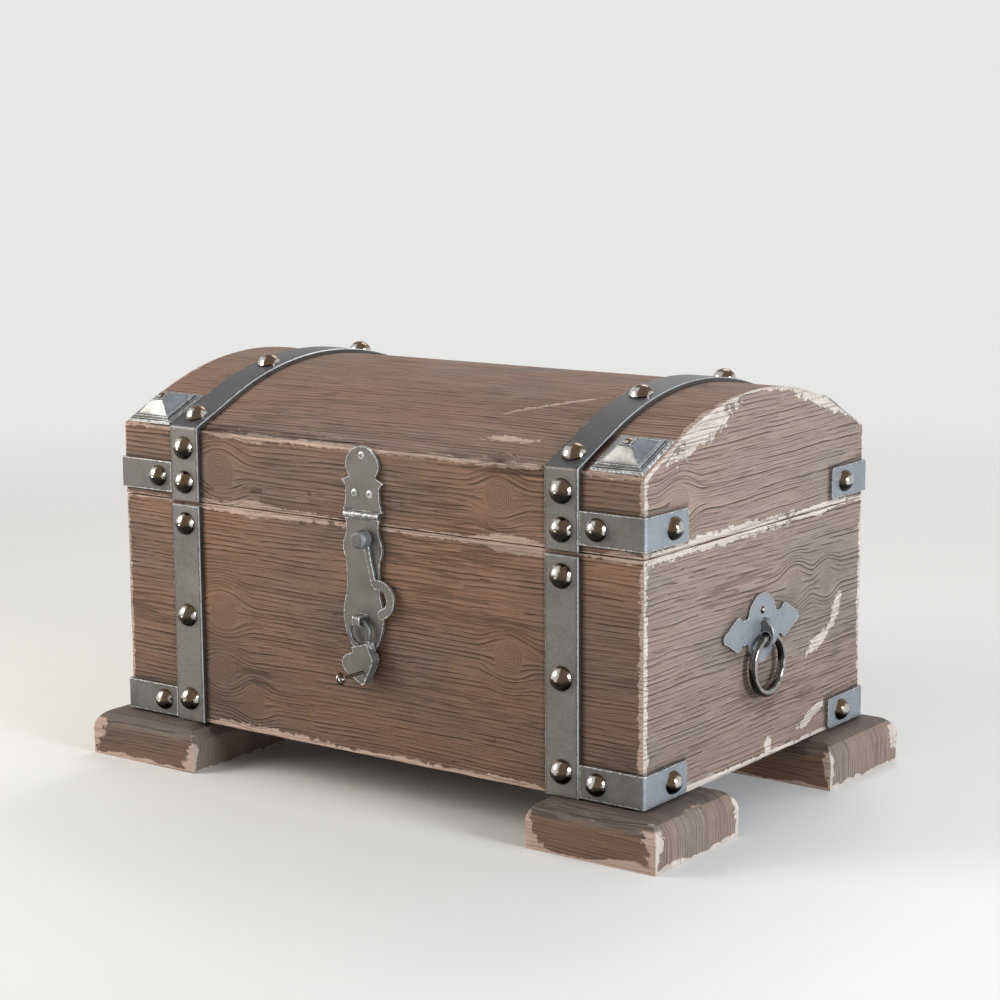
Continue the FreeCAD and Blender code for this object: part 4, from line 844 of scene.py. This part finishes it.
# ---------------------------------------------------------------- the bench
class Bench:
    """Modelling by hand: primitives, edit-mode steps and modifiers."""

    @staticmethod
    def clear() -> None:
        """Leave nothing selected."""
        if bpy.context.object and bpy.context.object.mode != "OBJECT":
            bpy.ops.object.mode_set(mode="OBJECT")
        bpy.ops.object.select_all(action="DESELECT")

    @staticmethod
    def hold(piece: bpy.types.Object) -> None:
        """Select one piece alone and make it active."""
        Bench.clear()
        piece.select_set(True)
        bpy.context.view_layer.objects.active = piece

    @staticmethod
    def settle(piece: bpy.types.Object) -> None:
        """Put the piece's place, turn and size into its mesh."""
        Bench.hold(piece)
        bpy.ops.object.transform_apply(location=True, rotation=True, scale=True)

    @staticmethod
    def block(name: str, low: Iterable[float], high: Iterable[float]) -> bpy.types.Object:
        """A box between two corners.

        Args:
            name: the piece's name.
            low, high: opposite corners.

        Returns:
            The box, with its place in its mesh.
        """
        a, b = Vector(low), Vector(high)
        Bench.clear()
        bpy.ops.mesh.primitive_cube_add(size=1.0, location=(a + b) / 2, scale=b - a)
        piece = bpy.context.object
        piece.name = piece.data.name = name
        Bench.settle(piece)
        return piece

    @staticmethod
    def pick(piece: bpy.types.Object, kind: str, test: Callable[[object], bool]) -> int:
        """Enter edit mode with only the wanted vertices, edges or faces selected.

        Args:
            piece: the piece.
            kind: VERT, EDGE or FACE.
            test: says which elements are wanted.

        Returns:
            How many were selected.
        """
        Bench.hold(piece)
        bpy.ops.object.mode_set(mode="EDIT")
        bpy.ops.mesh.select_mode(type=kind)
        bpy.ops.mesh.select_all(action="DESELECT")
        mesh = bmesh.from_edit_mesh(piece.data)
        group = {"VERT": mesh.verts, "EDGE": mesh.edges, "FACE": mesh.faces}[kind]
        chosen = [element for element in group if test(element)]
        for element in chosen:
            element.select_set(True)
        mesh.select_flush_mode()
        bmesh.update_edit_mesh(piece.data)
        return len(chosen)

    @staticmethod
    def slice_along(piece: bpy.types.Object, axis: int, pitch: float) -> None:
        """Divide every edge that runs along an axis, so that cuts lie about a pitch apart."""

        def runs(edge: bmesh.types.BMEdge) -> bool:
            """Whether an edge runs along the axis."""
            way = edge.verts[1].co - edge.verts[0].co
            return way.length > pitch * 1.5 and abs(way[axis]) > 0.8 * way.length

        for _ in range(3):
            if not Bench.pick(piece, "EDGE", runs):
                break
            mesh = bmesh.from_edit_mesh(piece.data)
            longest = max(edge.calc_length() for edge in mesh.edges if edge.select)
            cuts = max(1, min(99, math.ceil(longest / pitch) - 1))
            bpy.ops.mesh.subdivide(number_cuts=cuts)
        bpy.ops.object.mode_set(mode="OBJECT")

    @staticmethod
    def cut(piece: bpy.types.Object, axis: int, places: Iterable[float]) -> None:
        """Cut the whole piece at places along an axis, keeping both sides."""
        normal = Vector((0, 0, 0))
        normal[axis] = 1.0
        for place in places:
            Bench.pick(piece, "VERT", lambda _: True)
            bpy.ops.mesh.bisect(plane_co=normal * place, plane_no=normal)
        bpy.ops.object.mode_set(mode="OBJECT")

    @staticmethod
    def grid(piece: bpy.types.Object, axis: int, start: float, end: float, pitch: float) -> None:
        """Cut a piece evenly along an axis, about a pitch apart."""
        count = max(2, round((end - start) / pitch))
        Bench.cut(piece, axis, [start + (end - start) * i / count for i in range(1, count)])

    @staticmethod
    def rim(
        piece: bpy.types.Object, axis: int, low: float | None = None, high: float | None = None
    ) -> None:
        """Cut close beside the worn edges at one or both ends of an axis."""
        places = [low + c for c in EDGE_CUTS] if low is not None else []
        places += [high - c for c in EDGE_CUTS] if high is not None else []
        Bench.cut(piece, axis, places)

    @staticmethod
    def fair(piece: bpy.types.Object, angle: float) -> None:
        """Smooth shading, kept crisp where faces meet at more than an angle in degrees."""
        Bench.hold(piece)
        bpy.ops.object.shade_smooth_by_angle(angle=math.radians(angle))

    @staticmethod
    def apply(piece: bpy.types.Object, modifier: bpy.types.Modifier) -> None:
        """Make a modifier's result the piece's own mesh."""
        Bench.hold(piece)
        bpy.ops.object.modifier_apply(modifier=modifier.name)

    @staticmethod
    def outward(piece: bpy.types.Object) -> None:
        """Merge doubles and turn every face outward."""
        Bench.pick(piece, "VERT", lambda _: True)
        bpy.ops.mesh.remove_doubles(threshold=0.00001)
        bpy.ops.mesh.normals_make_consistent(inside=False)
        bpy.ops.object.mode_set(mode="OBJECT")

    @staticmethod
    def copy_node(name: str, node: str) -> bpy.types.Object:
        """A merged copy of a frame node's mesh, as a piece of its own."""
        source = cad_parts[node]
        mesh = source.data.copy()
        mesh.materials.clear()
        piece = bpy.data.objects.new(name, mesh)
        bpy.context.scene.collection.objects.link(piece)
        Bench.pick(piece, "VERT", lambda _: True)
        bpy.ops.mesh.remove_doubles(threshold=0.000002)
        bpy.ops.object.mode_set(mode="OBJECT")
        return piece

    @staticmethod
    def twin(piece: bpy.types.Object, name: str, place: Matrix) -> bpy.types.Object:
        """A copy with its own mesh, moved by a matrix, its faces turned outward."""
        mesh = piece.data.copy()
        mesh.transform(place)
        other = bpy.data.objects.new(name, mesh)
        bpy.context.scene.collection.objects.link(other)
        if place.determinant() < 0:
            Bench.outward(other)
        return other


@dataclass(frozen=True)
class Wear:
    """How far edges are rubbed round, how deep they are chipped, and how uneven faces are."""

    round_edge: float = 1.1 * MM
    chip: float = 3.4 * MM
    uneven: float = 0.45 * MM
    reach: float = 0.02 * MM
    chips_per_metre: float = 17.0
    flecks_per_metre: float = 95.0

    def apply(self, piece: bpy.types.Object, hull: Hull) -> None:
        """Move the vertices on the outside inward; the same place always moves alike.

        Args:
            piece: the piece.
            hull: the outer shape that it is part of.
        """
        for vertex in piece.data.vertices:
            p = vertex.co.copy()
            planes = hull.planes(p)
            if min(depth for depth, _ in planes) > self.reach:
                continue
            broad = noise.noise(p * self.chips_per_metre) * 0.5 + 0.5
            fine = noise.noise(p * self.flecks_per_metre) * 0.5 + 0.5
            chip = max(0.0, (broad - 0.55) / 0.45) * (0.45 + 0.55 * fine)
            radius = self.round_edge * (0.7 + 0.6 * fine) + self.chip * chip
            lacks = [max(radius - max(depth, 0.0), 0.0) for depth, _ in planes]
            total = math.sqrt(sum(lack * lack for lack in lacks))
            if total > radius:
                for lack, (_, inward) in zip(lacks, planes):
                    vertex.co += inward * (lack * (1.0 - radius / total))
            wave = noise.noise(Vector((p.x * 5.0, p.y * 5.0 + 3.0, p.z * 34.0))) * 0.5 + 0.5
            nearest = min(planes, key=lambda plane: plane[0])[1]
            if nearest.z < 0.9 and not (nearest.z < -0.99 and isinstance(hull, BodyHull)):
                vertex.co += nearest * (wave * self.uneven)


def ride(piece: bpy.types.Object, body: str, node: str) -> None:
    """Give a finished piece its body and the node that it stands for.

    Args:
        piece: the piece.
        body: the body that carries it.
        node: the frame node that it replaces.
    """
    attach(piece, body)
    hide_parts(node)
    LOG.info("%s: %d faces on %s", piece.name, len(piece.data.polygons), body)


def board_finish(piece: bpy.types.Object, body: str, node: str, wood: StainedWood) -> None:
    """Give a wooden piece its wood, its body and the node that it stands for."""
    piece.data.materials.append(Finishes.of(wood))
    ride(piece, body, node)


def dress(node: str, finish: Finish) -> None:
    """Give a frame node that stays in view its finish."""
    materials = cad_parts[node].data.materials
    materials.clear()
    materials.append(Finishes.of(finish))
    LOG.info("%s: dressed", node)


# ---------------------------------------------------------------- wood
BODY_WOOD = StainedWood(
    "body_boards",
    BodyHull(),
    2.0,
    knots=(
        Knot((-0.176, FRONT, 0.158), 17 * MM),
        Knot((-0.178, FRONT, 0.100), 16 * MM),
        Knot((-0.140, FRONT, 0.075), 14 * MM),
        Knot((0.160, FRONT, 0.158), 15 * MM),
        Knot((RIGHT, 0.062, 0.196), 15 * MM),
        Knot((RIGHT, 0.124, 0.190), 13 * MM),
        Knot((LEFT, -0.070, 0.120), 16 * MM),
        Knot((0.080, BACK, 0.140), 16 * MM),
    ),
    scrapes=(
        Scrape((RIGHT, 0.143, 0.161), (0.0, 0.45, 0.893), 17 * MM, 6.0 * MM),
        Scrape((RIGHT, 0.112, 0.136), (0.0, 0.93, 0.37), 26 * MM, 7.0 * MM),
        Scrape((RIGHT, 0.098, 0.066), (0.0, 0.95, 0.31), 24 * MM, 6.5 * MM),
        Scrape((RIGHT, 0.018, 0.052), UPWARD, 9 * MM, 6.0 * MM),
        Scrape((RIGHT, -0.190, 0.150), UPWARD, 150 * MM, 5.2 * MM),
        Scrape((RIGHT, 0.189, 0.165), UPWARD, 80 * MM, 4.5 * MM),
        Scrape((RIGHT, -0.090, 0.259), BACKWARD, 140 * MM, 5.8 * MM),
        Scrape((RIGHT, 0.020, 0.045), BACKWARD, 170 * MM, 4.0 * MM),
        Scrape((-0.125, FRONT, 0.257), RIGHTWARD, 110 * MM, 3.6 * MM),
        Scrape((0.120, FRONT, 0.258), RIGHTWARD, 160 * MM, 2.6 * MM),
        Scrape((-0.110, FRONT, 0.046), RIGHTWARD, 100 * MM, 5.0 * MM),
        Scrape((0.130, FRONT, 0.045), RIGHTWARD, 80 * MM, 4.0 * MM),
        Scrape((-0.299, FRONT, 0.150), UPWARD, 120 * MM, 3.0 * MM),
        Scrape((0.299, FRONT, 0.150), UPWARD, 120 * MM, 2.0 * MM),
    ),
    # painted shade mixed with grime round the hasp, the right ring plate and its ring
    shade_and_grime_patches=(
        Scrape((0.003, FRONT, 0.200), UPWARD, 110 * MM, 27 * MM),
        Scrape((RIGHT, 0.000, 0.166), BACKWARD, 66 * MM, 30 * MM),
        Scrape((RIGHT, 0.004, 0.122), UPWARD, 36 * MM, 38 * MM),
    ),
)
LID_WOOD = StainedWood(
    "lid_boards",
    LidHull(),
    31.0,
    knots=(
        Knot((-0.176, FRONT, 0.292), 18 * MM),
        Knot((0.150, FRONT, 0.300), 15 * MM),
        Knot((RIGHT, -0.135, 0.300), 16 * MM),
        Knot((LEFT, 0.090, 0.300), 16 * MM),
    ),
    scrapes=(
        Scrape((0.1526, -0.0937, 0.3695), (0.849, 0.505, 0.151), 50 * MM, 3.0 * MM),
        Scrape((0.1395, -0.1573, 0.3447), RIGHTWARD, 24 * MM, 5.0 * MM),
        Scrape((RIGHT, -0.096, 0.3570), (0.0, 0.943, 0.332), 54 * MM, 10.5 * MM),
        Scrape((RIGHT, 0.100, 0.3640), (0.0, 0.950, -0.310), 85 * MM, 5.5 * MM),
        Scrape((RIGHT, -0.190, 0.300), UPWARD, 70 * MM, 4.8 * MM),
        Scrape((RIGHT, -0.080, 0.262), BACKWARD, 150 * MM, 5.5 * MM),
        Scrape((RIGHT, 0.110, 0.262), BACKWARD, 70 * MM, 3.5 * MM),
        Scrape((0.010, FRONT, 0.3285), RIGHTWARD, 220 * MM, 3.4 * MM),
        Scrape((-0.140, FRONT, 0.262), RIGHTWARD, 90 * MM, 2.6 * MM),
    ),
    # painted shade mixed with grime round the hasp's top plate
    shade_and_grime_patches=(
        Scrape((0.002, FRONT, 0.285), UPWARD, 52 * MM, 27 * MM),
    ),
)
FOOT_WOOD = StainedWood(
    "foot_blocks",
    FootHull(),
    57.0,
    end_turned=True,
    folded=True,
    scrapes=(
        Scrape((0.325, 0.213, 0.028), UPWARD, 17 * MM, 11.0 * MM),
        Scrape((0.197, 0.217, 0.018), UPWARD, 26 * MM, 6.5 * MM),
        Scrape((0.199, 0.217, 0.006), RIGHTWARD, 13 * MM, 8.0 * MM),
        Scrape((0.327, 0.085, 0.026), UPWARD, 18 * MM, 6.0 * MM),
    ),
    # painted shadow: the feet's top faces are darker, where the chest shades them
    top_tone=(0.150, 0.112, 0.095),
    top_grey=(0.118, 0.096, 0.086),
    ring_pitch=3.6 * MM,
    ring_depth=0.62,
)


@dataclass
class Walls:
    """The body's four mitred boards."""

    hull: BodyHull = field(default_factory=BodyHull)
    board: float = 20 * MM
    pitch: float = 4.5 * MM
    crisp: float = 40.0
    wear: Wear = field(default_factory=Wear)

    def mitred(self, name: str, axis: int, side: int) -> bpy.types.Object:
        """An upright board with mitred ends.

        Args:
            name: the piece's name.
            axis: 0 when it runs along the chest, 1 when it runs across.
            side: -1 for the front or the left, 1 for the back or the right.

        Returns:
            The board.
        """
        hull = self.hull
        halves = (hull.half_length, hull.half_depth)
        run, outer, inner = halves[axis], halves[1 - axis], halves[1 - axis] - self.board
        low, high = [-run, -run, hull.bottom], [run, run, hull.top]
        low[1 - axis], high[1 - axis] = sorted((side * outer, side * inner))
        piece = Bench.block(name, low, high)
        for end in (-1, 1):

            def at_mitre(vertex: bmesh.types.BMVert) -> bool:
                """Whether a corner belongs to the mitre at this end, on the inner face."""
                return abs(vertex.co[1 - axis]) < inner + MM and vertex.co[axis] * end > 0

            Bench.pick(piece, "VERT", at_mitre)
            shift = [0.0, 0.0, 0.0]
            shift[axis] = -end * self.board
            bpy.ops.transform.translate(value=shift)
        Bench.slice_along(piece, axis, self.pitch)
        Bench.slice_along(piece, 2, self.pitch)
        Bench.rim(piece, 2, hull.bottom, hull.top)
        Bench.rim(piece, axis, -run, run)
        return piece

    def build(self) -> None:
        """Make and dress the four boards."""
        boards = {
            "body_front_board": ("front_wall", 0, -1),
            "body_back_board": ("back_wall", 0, 1),
            "body_left_end_board": ("left_wall", 1, -1),
            "body_right_end_board": ("right_wall", 1, 1),
        }
        made = {node: self.mitred(*board) for node, board in boards.items()}
        for node, piece in made.items():
            self.wear.apply(piece, self.hull)
            Bench.fair(piece, self.crisp)
            board_finish(piece, "chest", node, BODY_WOOD)
        for index in (1, 2, 3):
            dress(f"floor_plank_{index}", BODY_WOOD)


@dataclass
class Feet:
    """Four block feet, modelled once."""

    hull: FootHull = field(default_factory=FootHull)
    top_round: float = 20 * MM
    round_steps: int = 9
    pitch: float = 5.0 * MM
    crisp: float = 50.0
    wear: Wear = field(default_factory=lambda: Wear(0.6 * MM, 1.6 * MM, 0.5 * MM))

    def block(self) -> bpy.types.Object:
        """The front right foot: a block with its top edges well rounded."""
        h = self.hull
        low = (h.centre_x - h.half_x, -h.centre_y - h.half_y, 0.0)
        high = (h.centre_x + h.half_x, -h.centre_y + h.half_y, h.height)
        piece = Bench.block("foot_pattern", low, high)

        def on_top(edge: bmesh.types.BMEdge) -> bool:
            """Whether an edge lies in the top face."""
            return all(v.co.z > h.height - 0.01 * MM for v in edge.verts)

        Bench.pick(piece, "EDGE", on_top)
        bpy.ops.mesh.bevel(
            offset=self.top_round * 0.999, segments=self.round_steps, affect="EDGES")
        bpy.ops.object.mode_set(mode="OBJECT")
        for axis in range(3):
            Bench.grid(piece, axis, low[axis], high[axis], self.pitch)
        return piece

    def build(self) -> None:
        """Make, copy and dress the feet."""
        pattern = self.block()
        for end in ("front", "back"):
            for side in ("left", "right"):
                across, along = 1 if side == "right" else -1, 1 if end == "front" else -1
                turn = Matrix.Diagonal((across, along, 1, 1))
                piece = Bench.twin(pattern, f"{end}_{side}_block_foot", turn)
                self.wear.apply(piece, self.hull)
                Bench.fair(piece, self.crisp)
                board_finish(piece, "chest", f"foot_{end}_{side}", FOOT_WOOD)
        bpy.data.objects.remove(pattern)


@dataclass
class LidShell:
    """The lid's rails, arched ends and staves."""

    hull: LidHull = field(default_factory=LidHull)
    stave: float = 16 * MM
    end_skin: float = 8 * MM
    crown_staves: int = 5
    spin_steps: int = 9
    pitch: float = 5.0 * MM
    crisp: float = 40.0
    wear: Wear = field(default_factory=lambda: Wear(1.2 * MM, 4.0 * MM, 0.4 * MM))

    def crown_stave(self, index: int) -> bpy.types.Object:
        """One stave of the crown, spun from its radial joint.

        Args:
            index: 0 at the front.

        Returns:
            The stave.
        """
        h = self.hull
        step = 2 * h.flank / self.crown_staves
        low = -h.flank + index * step
        half = h.half_length - self.end_skin
        middle = h.radius - self.stave / 2
        place = (0.0, middle * math.sin(low), h.centre + middle * math.cos(low))
        lean = (math.pi / 2 - low, 0, 0)
        Bench.clear()
        bpy.ops.mesh.primitive_plane_add(size=1.0, location=place, rotation=lean)
        piece = bpy.context.object
        piece.name = piece.data.name = f"crown_stave_{index + 1}"
        piece.scale = (2 * half, self.stave, 1.0)
        Bench.settle(piece)
        Bench.pick(piece, "FACE", lambda _: True)
        bpy.ops.mesh.spin(
            steps=self.spin_steps, angle=step, center=(0, 0, h.centre), axis=RIGHTWARD)
        bpy.ops.object.mode_set(mode="OBJECT")
        Bench.outward(piece)
        Bench.slice_along(piece, 0, self.pitch)
        return piece

    def from_node(
        self, name: str, node: str, cuts: dict[int, tuple[float, float]]
    ) -> bpy.types.Object:
        """A board that keeps its node's joints, cut fine enough to show wear.

        Args:
            name: the piece's name.
            node: the node.
            cuts: the axes to cut along, each with the first and last place.

        Returns:
            The board.
        """
        piece = Bench.copy_node(name, node)
        Bench.pick(piece, "VERT", lambda _: True)
        bpy.ops.mesh.dissolve_limited(angle_limit=math.radians(0.5))
        bpy.ops.mesh.quads_convert_to_tris()
        for axis, (start, end) in cuts.items():
            Bench.grid(piece, axis, start, end, self.pitch)
        return piece

    def build(self) -> None:
        """Make and dress the lid's boards."""
        h = self.hull
        made: dict[str, bpy.types.Object] = {}
        for index in range(self.crown_staves):
            made[f"lid_stave_{index + 2}"] = self.crown_stave(index)
        lengthwise, crossways = (-h.half_length, h.half_length), (-h.half_depth, h.half_depth)
        for node, name, side in (
            ("lid_stave_1", "front_flank_stave", -1),
            ("lid_stave_7", "back_flank_stave", 1),
        ):
            band = tuple(sorted((side * h.crown_half, side * h.half_depth)))
            made[node] = self.from_node(name, node, {0: lengthwise, 1: band})
        for node, name in (("lid_front_rail", "front_rail"), ("lid_back_rail", "back_rail")):
            piece = self.from_node(name, node, {0: lengthwise, 2: (h.bottom, h.arris)})
            Bench.rim(piece, 2, h.bottom)
            Bench.rim(piece, 0, *lengthwise)
            made[node] = piece
        for node, name, outer in (
            ("lid_left_end_board", "left_arch", (-h.half_length, None)),
            ("lid_right_end_board", "right_arch", (None, h.half_length)),
        ):
            piece = self.from_node(name, node, {1: crossways, 2: (h.bottom, h.centre + h.radius)})
            Bench.rim(piece, 0, *outer)
            Bench.rim(piece, 2, h.bottom)
            made[node] = piece
        for node, piece in made.items():
            self.wear.apply(piece, h)
            Bench.fair(piece, self.crisp)
            board_finish(piece, "lid", node, LID_WOOD)


# ---------------------------------------------------------------- iron
@dataclass
class Ironwork:
    """Metal pieces whose edges are broken and rubbed bright."""

    body: str
    face: Metal
    nodes: dict[str, str]
    break_width: float = 0.45 * MM
    angle: float = 38.0
    smooth: float = 30.0
    edge: Metal = Metal.WORN_EDGE

    def build(self) -> None:
        """Copy each node's shape, break its edges and dress it."""
        for node, name in self.nodes.items():
            piece = Bench.copy_node(name, node)
            Bench.pick(piece, "VERT", lambda _: True)
            bpy.ops.mesh.dissolve_limited(angle_limit=math.radians(0.6))
            bpy.ops.object.mode_set(mode="OBJECT")
            for finish in (self.face, self.edge):
                piece.data.materials.append(Finishes.of(finish))
            bevel = piece.modifiers.new("broken_edges", "BEVEL")
            bevel.width = self.break_width
            bevel.segments = 2
            bevel.material = 1
            bevel.limit_method = "ANGLE"
            bevel.angle_limit = math.radians(self.angle)
            Bench.apply(piece, bevel)
            Bench.fair(piece, self.smooth)
            flat = piece.modifiers.new("flat_faces", "WEIGHTED_NORMAL")
            flat.keep_sharp = True
            Bench.apply(piece, flat)
            ride(piece, self.body, node)


@dataclass
class Strapping:
    """Flat straps on the body and over the lid."""

    finish: StrapSteel = field(default_factory=StrapSteel)

    def build(self) -> None:
        """Dress the straps."""
        for end in ("front", "back"):
            for side in ("left", "right"):
                dress(f"body_strap_{end}_{side}", self.finish)
        for side in ("left", "right"):
            dress(f"lid_strap_{side}", self.finish)


IRONWORK = (
    Ironwork("chest", Metal.WORN, {
        "body_corner_brackets": "body_corner_plates", "ring_plate_left": "left_ring_plate",
        "ring_plate_right": "right_ring_plate"}),
    Ironwork("lid", Metal.WORN, {"lid_corner_brackets": "lid_corner_plates"}),
    Ironwork("lid", Metal.BOSS, {"lid_corner_bosses": "pyramid_bosses"}, 0.35 * MM, 14.0, 9.0),
    Ironwork("lid", Metal.SATIN, {"hasp_top_plate": "hasp_plate"}),
    Ironwork("hasp", Metal.SATIN, {"hasp_flap": "long_hasp", "hasp_staple": "staple"}),
    Ironwork("swing_hook", Metal.SATIN, {"swing_hook": "hook"}),
    Ironwork("padlock", Metal.SATIN, {"padlock_body": "padlock_case"}),
)

PLAIN_METAL = {
    Metal.NICKEL: (
        "body_strap_nails", "lid_strap_nails", "body_bracket_nails", "lid_bracket_nails",
        "lid_boss_nails", "ring_plate_nails", "padlock_key"),
    Metal.RING: ("ring_left", "ring_right"),
    Metal.WORN: ("ring_eye_left", "ring_eye_right", "hasp_stud", "hasp_screws"),
    Metal.PLAIN: (
        "padlock_shackle", "hasp_pin", "hinge_body_leaves", "hinge_lid_leaves", "hinge_pins",
        "hinge_body_screws", "hinge_lid_screws", "foot_screws"),
}


# ---------------------------------------------------------------- studio
@dataclass
class Studio:
    """A pale floor, soft lamps and the camera."""

    camera_place: Place = (1.35887, -1.82912, 0.64860)
    yaw: float = math.radians(-36.3776)
    pitch: float = math.radians(9.8097)
    roll: float = math.radians(-0.3398)
    lens: float = 86.283
    backdrop: Colour = (0.80, 0.80, 0.79)
    sky_level: float = 0.42

    def camera(self) -> None:
        """Place the camera."""
        c, s = math.cos(self.yaw), math.sin(self.yaw)
        ahead = Vector((s * math.cos(self.pitch), c * math.cos(self.pitch), -math.sin(self.pitch)))
        right = Vector((c, -s, 0))
        up = right.cross(ahead)
        turned_right = right * math.cos(self.roll) + up * math.sin(self.roll)
        turned_up = up * math.cos(self.roll) - right * math.sin(self.roll)
        data = bpy.data.cameras.new("camera")
        data.lens, data.sensor_width, data.clip_end = self.lens, 36.0, 50.0
        eye = bpy.data.objects.new("camera", data)
        bpy.context.scene.collection.objects.link(eye)
        turn = Matrix((turned_right, turned_up, -ahead)).transposed().to_4x4()
        eye.matrix_world = Matrix.Translation(self.camera_place) @ turn
        bpy.context.scene.camera = eye

    def lamp(self, name: str, place: Place, watts: float, size: float, tint: Colour) -> None:
        """A round soft lamp aimed at the chest.

        Args:
            name: its name.
            place: where it stands.
            watts: its power.
            size: its width.
            tint: its colour.
        """
        data = bpy.data.lights.new(name, "AREA")
        data.shape = "DISK"
        data.energy, data.size, data.color = watts, size, tint
        lamp = bpy.data.objects.new(name, data)
        bpy.context.scene.collection.objects.link(lamp)
        lamp.location = place
        way = Vector((0, 0, 0.18)) - Vector(place)
        lamp.rotation_euler = way.to_track_quat("-Z", "Y").to_euler()

    def sky(self) -> None:
        """A pale surround: the backdrop to the eye and in reflections, soft light elsewhere."""
        world = bpy.data.worlds.new("surround")
        bpy.context.scene.world = world
        world.use_nodes = True
        tree = world.node_tree
        ray = tree.nodes.new("ShaderNodeLightPath")
        seen = tree.nodes.new("ShaderNodeMath")
        seen.operation = "MAXIMUM"
        tree.links.new(ray.outputs["Is Camera Ray"], seen.inputs[0])
        tree.links.new(ray.outputs["Is Glossy Ray"], seen.inputs[1])
        level = tree.nodes.new("ShaderNodeMix")
        level.data_type = "FLOAT"
        tree.links.new(seen.outputs[0], level.inputs[0])
        level.inputs[2].default_value = self.sky_level / self.backdrop[0]
        level.inputs[3].default_value = 1.0
        background = tree.nodes["Background"]
        background.inputs["Color"].default_value = (*self.backdrop, 1.0)
        tree.links.new(level.outputs[0], background.inputs["Strength"])

    def floor(self) -> None:
        """A wide pale floor that fades into the backdrop."""
        Bench.clear()
        bpy.ops.mesh.primitive_circle_add(vertices=96, radius=9.0, fill_type="NGON")
        disc = bpy.context.object
        disc.name = "studio_floor"
        g = Graph("pale_floor")
        far = g.vector("LENGTH", g.where())
        mottle = g.noise(g.where(), scale=3.0, detail=4.0)
        g.set(Base_Color=g.shade(self.backdrop, mottle * 0.05 + 0.955), Roughness=0.75)
        glow = g.node("ShaderNodeEmission")
        glow.inputs["Color"].default_value = (*self.backdrop, 1.0)
        ray = g.node("ShaderNodeLightPath")
        seen = Wire(g, ray.outputs["Is Camera Ray"]).larger(Wire(g, ray.outputs["Is Glossy Ray"]))
        join = g.node("ShaderNodeMixShader")
        g.feed(join.inputs[0], far.ramp(0.75, 2.6) * seen)
        g.tree.links.new(g.surface.outputs["BSDF"], join.inputs[1])
        g.tree.links.new(glow.outputs["Emission"], join.inputs[2])
        g.tree.links.new(join.outputs["Shader"], g.output.inputs["Surface"])
        disc.data.materials.append(g.material)

    def build(self) -> None:
        """Set the studio up."""
        bpy.context.scene.view_settings.view_transform = "Standard"
        self.camera()
        self.sky()
        self.floor()
        self.lamp("key", (2.4, -0.22, 0.80), 50.0, 0.8, (0.88, 0.94, 1.0))
        self.lamp("fill", (-1.25, -1.15, 0.95), 22.0, 1.1, (1.0, 0.94, 0.87))
        self.lamp("rim", (-0.3, 1.6, 2.1), 18.0, 1.2, (1.0, 0.97, 0.94))


def main() -> None:
    """Build the studio and every sub-assembly."""
    logging.basicConfig(level=logging.INFO, format="%(message)s")
    for assembly in (Studio(), Walls(), Feet(), LidShell(), Strapping(), *IRONWORK):
        assembly.build()
        LOG.info("-- %s done", type(assembly).__name__)
    for metal, nodes in PLAIN_METAL.items():
        for node in nodes:
            dress(node, metal)
    Bench.clear()


if __name__ == "__main__":
    main()
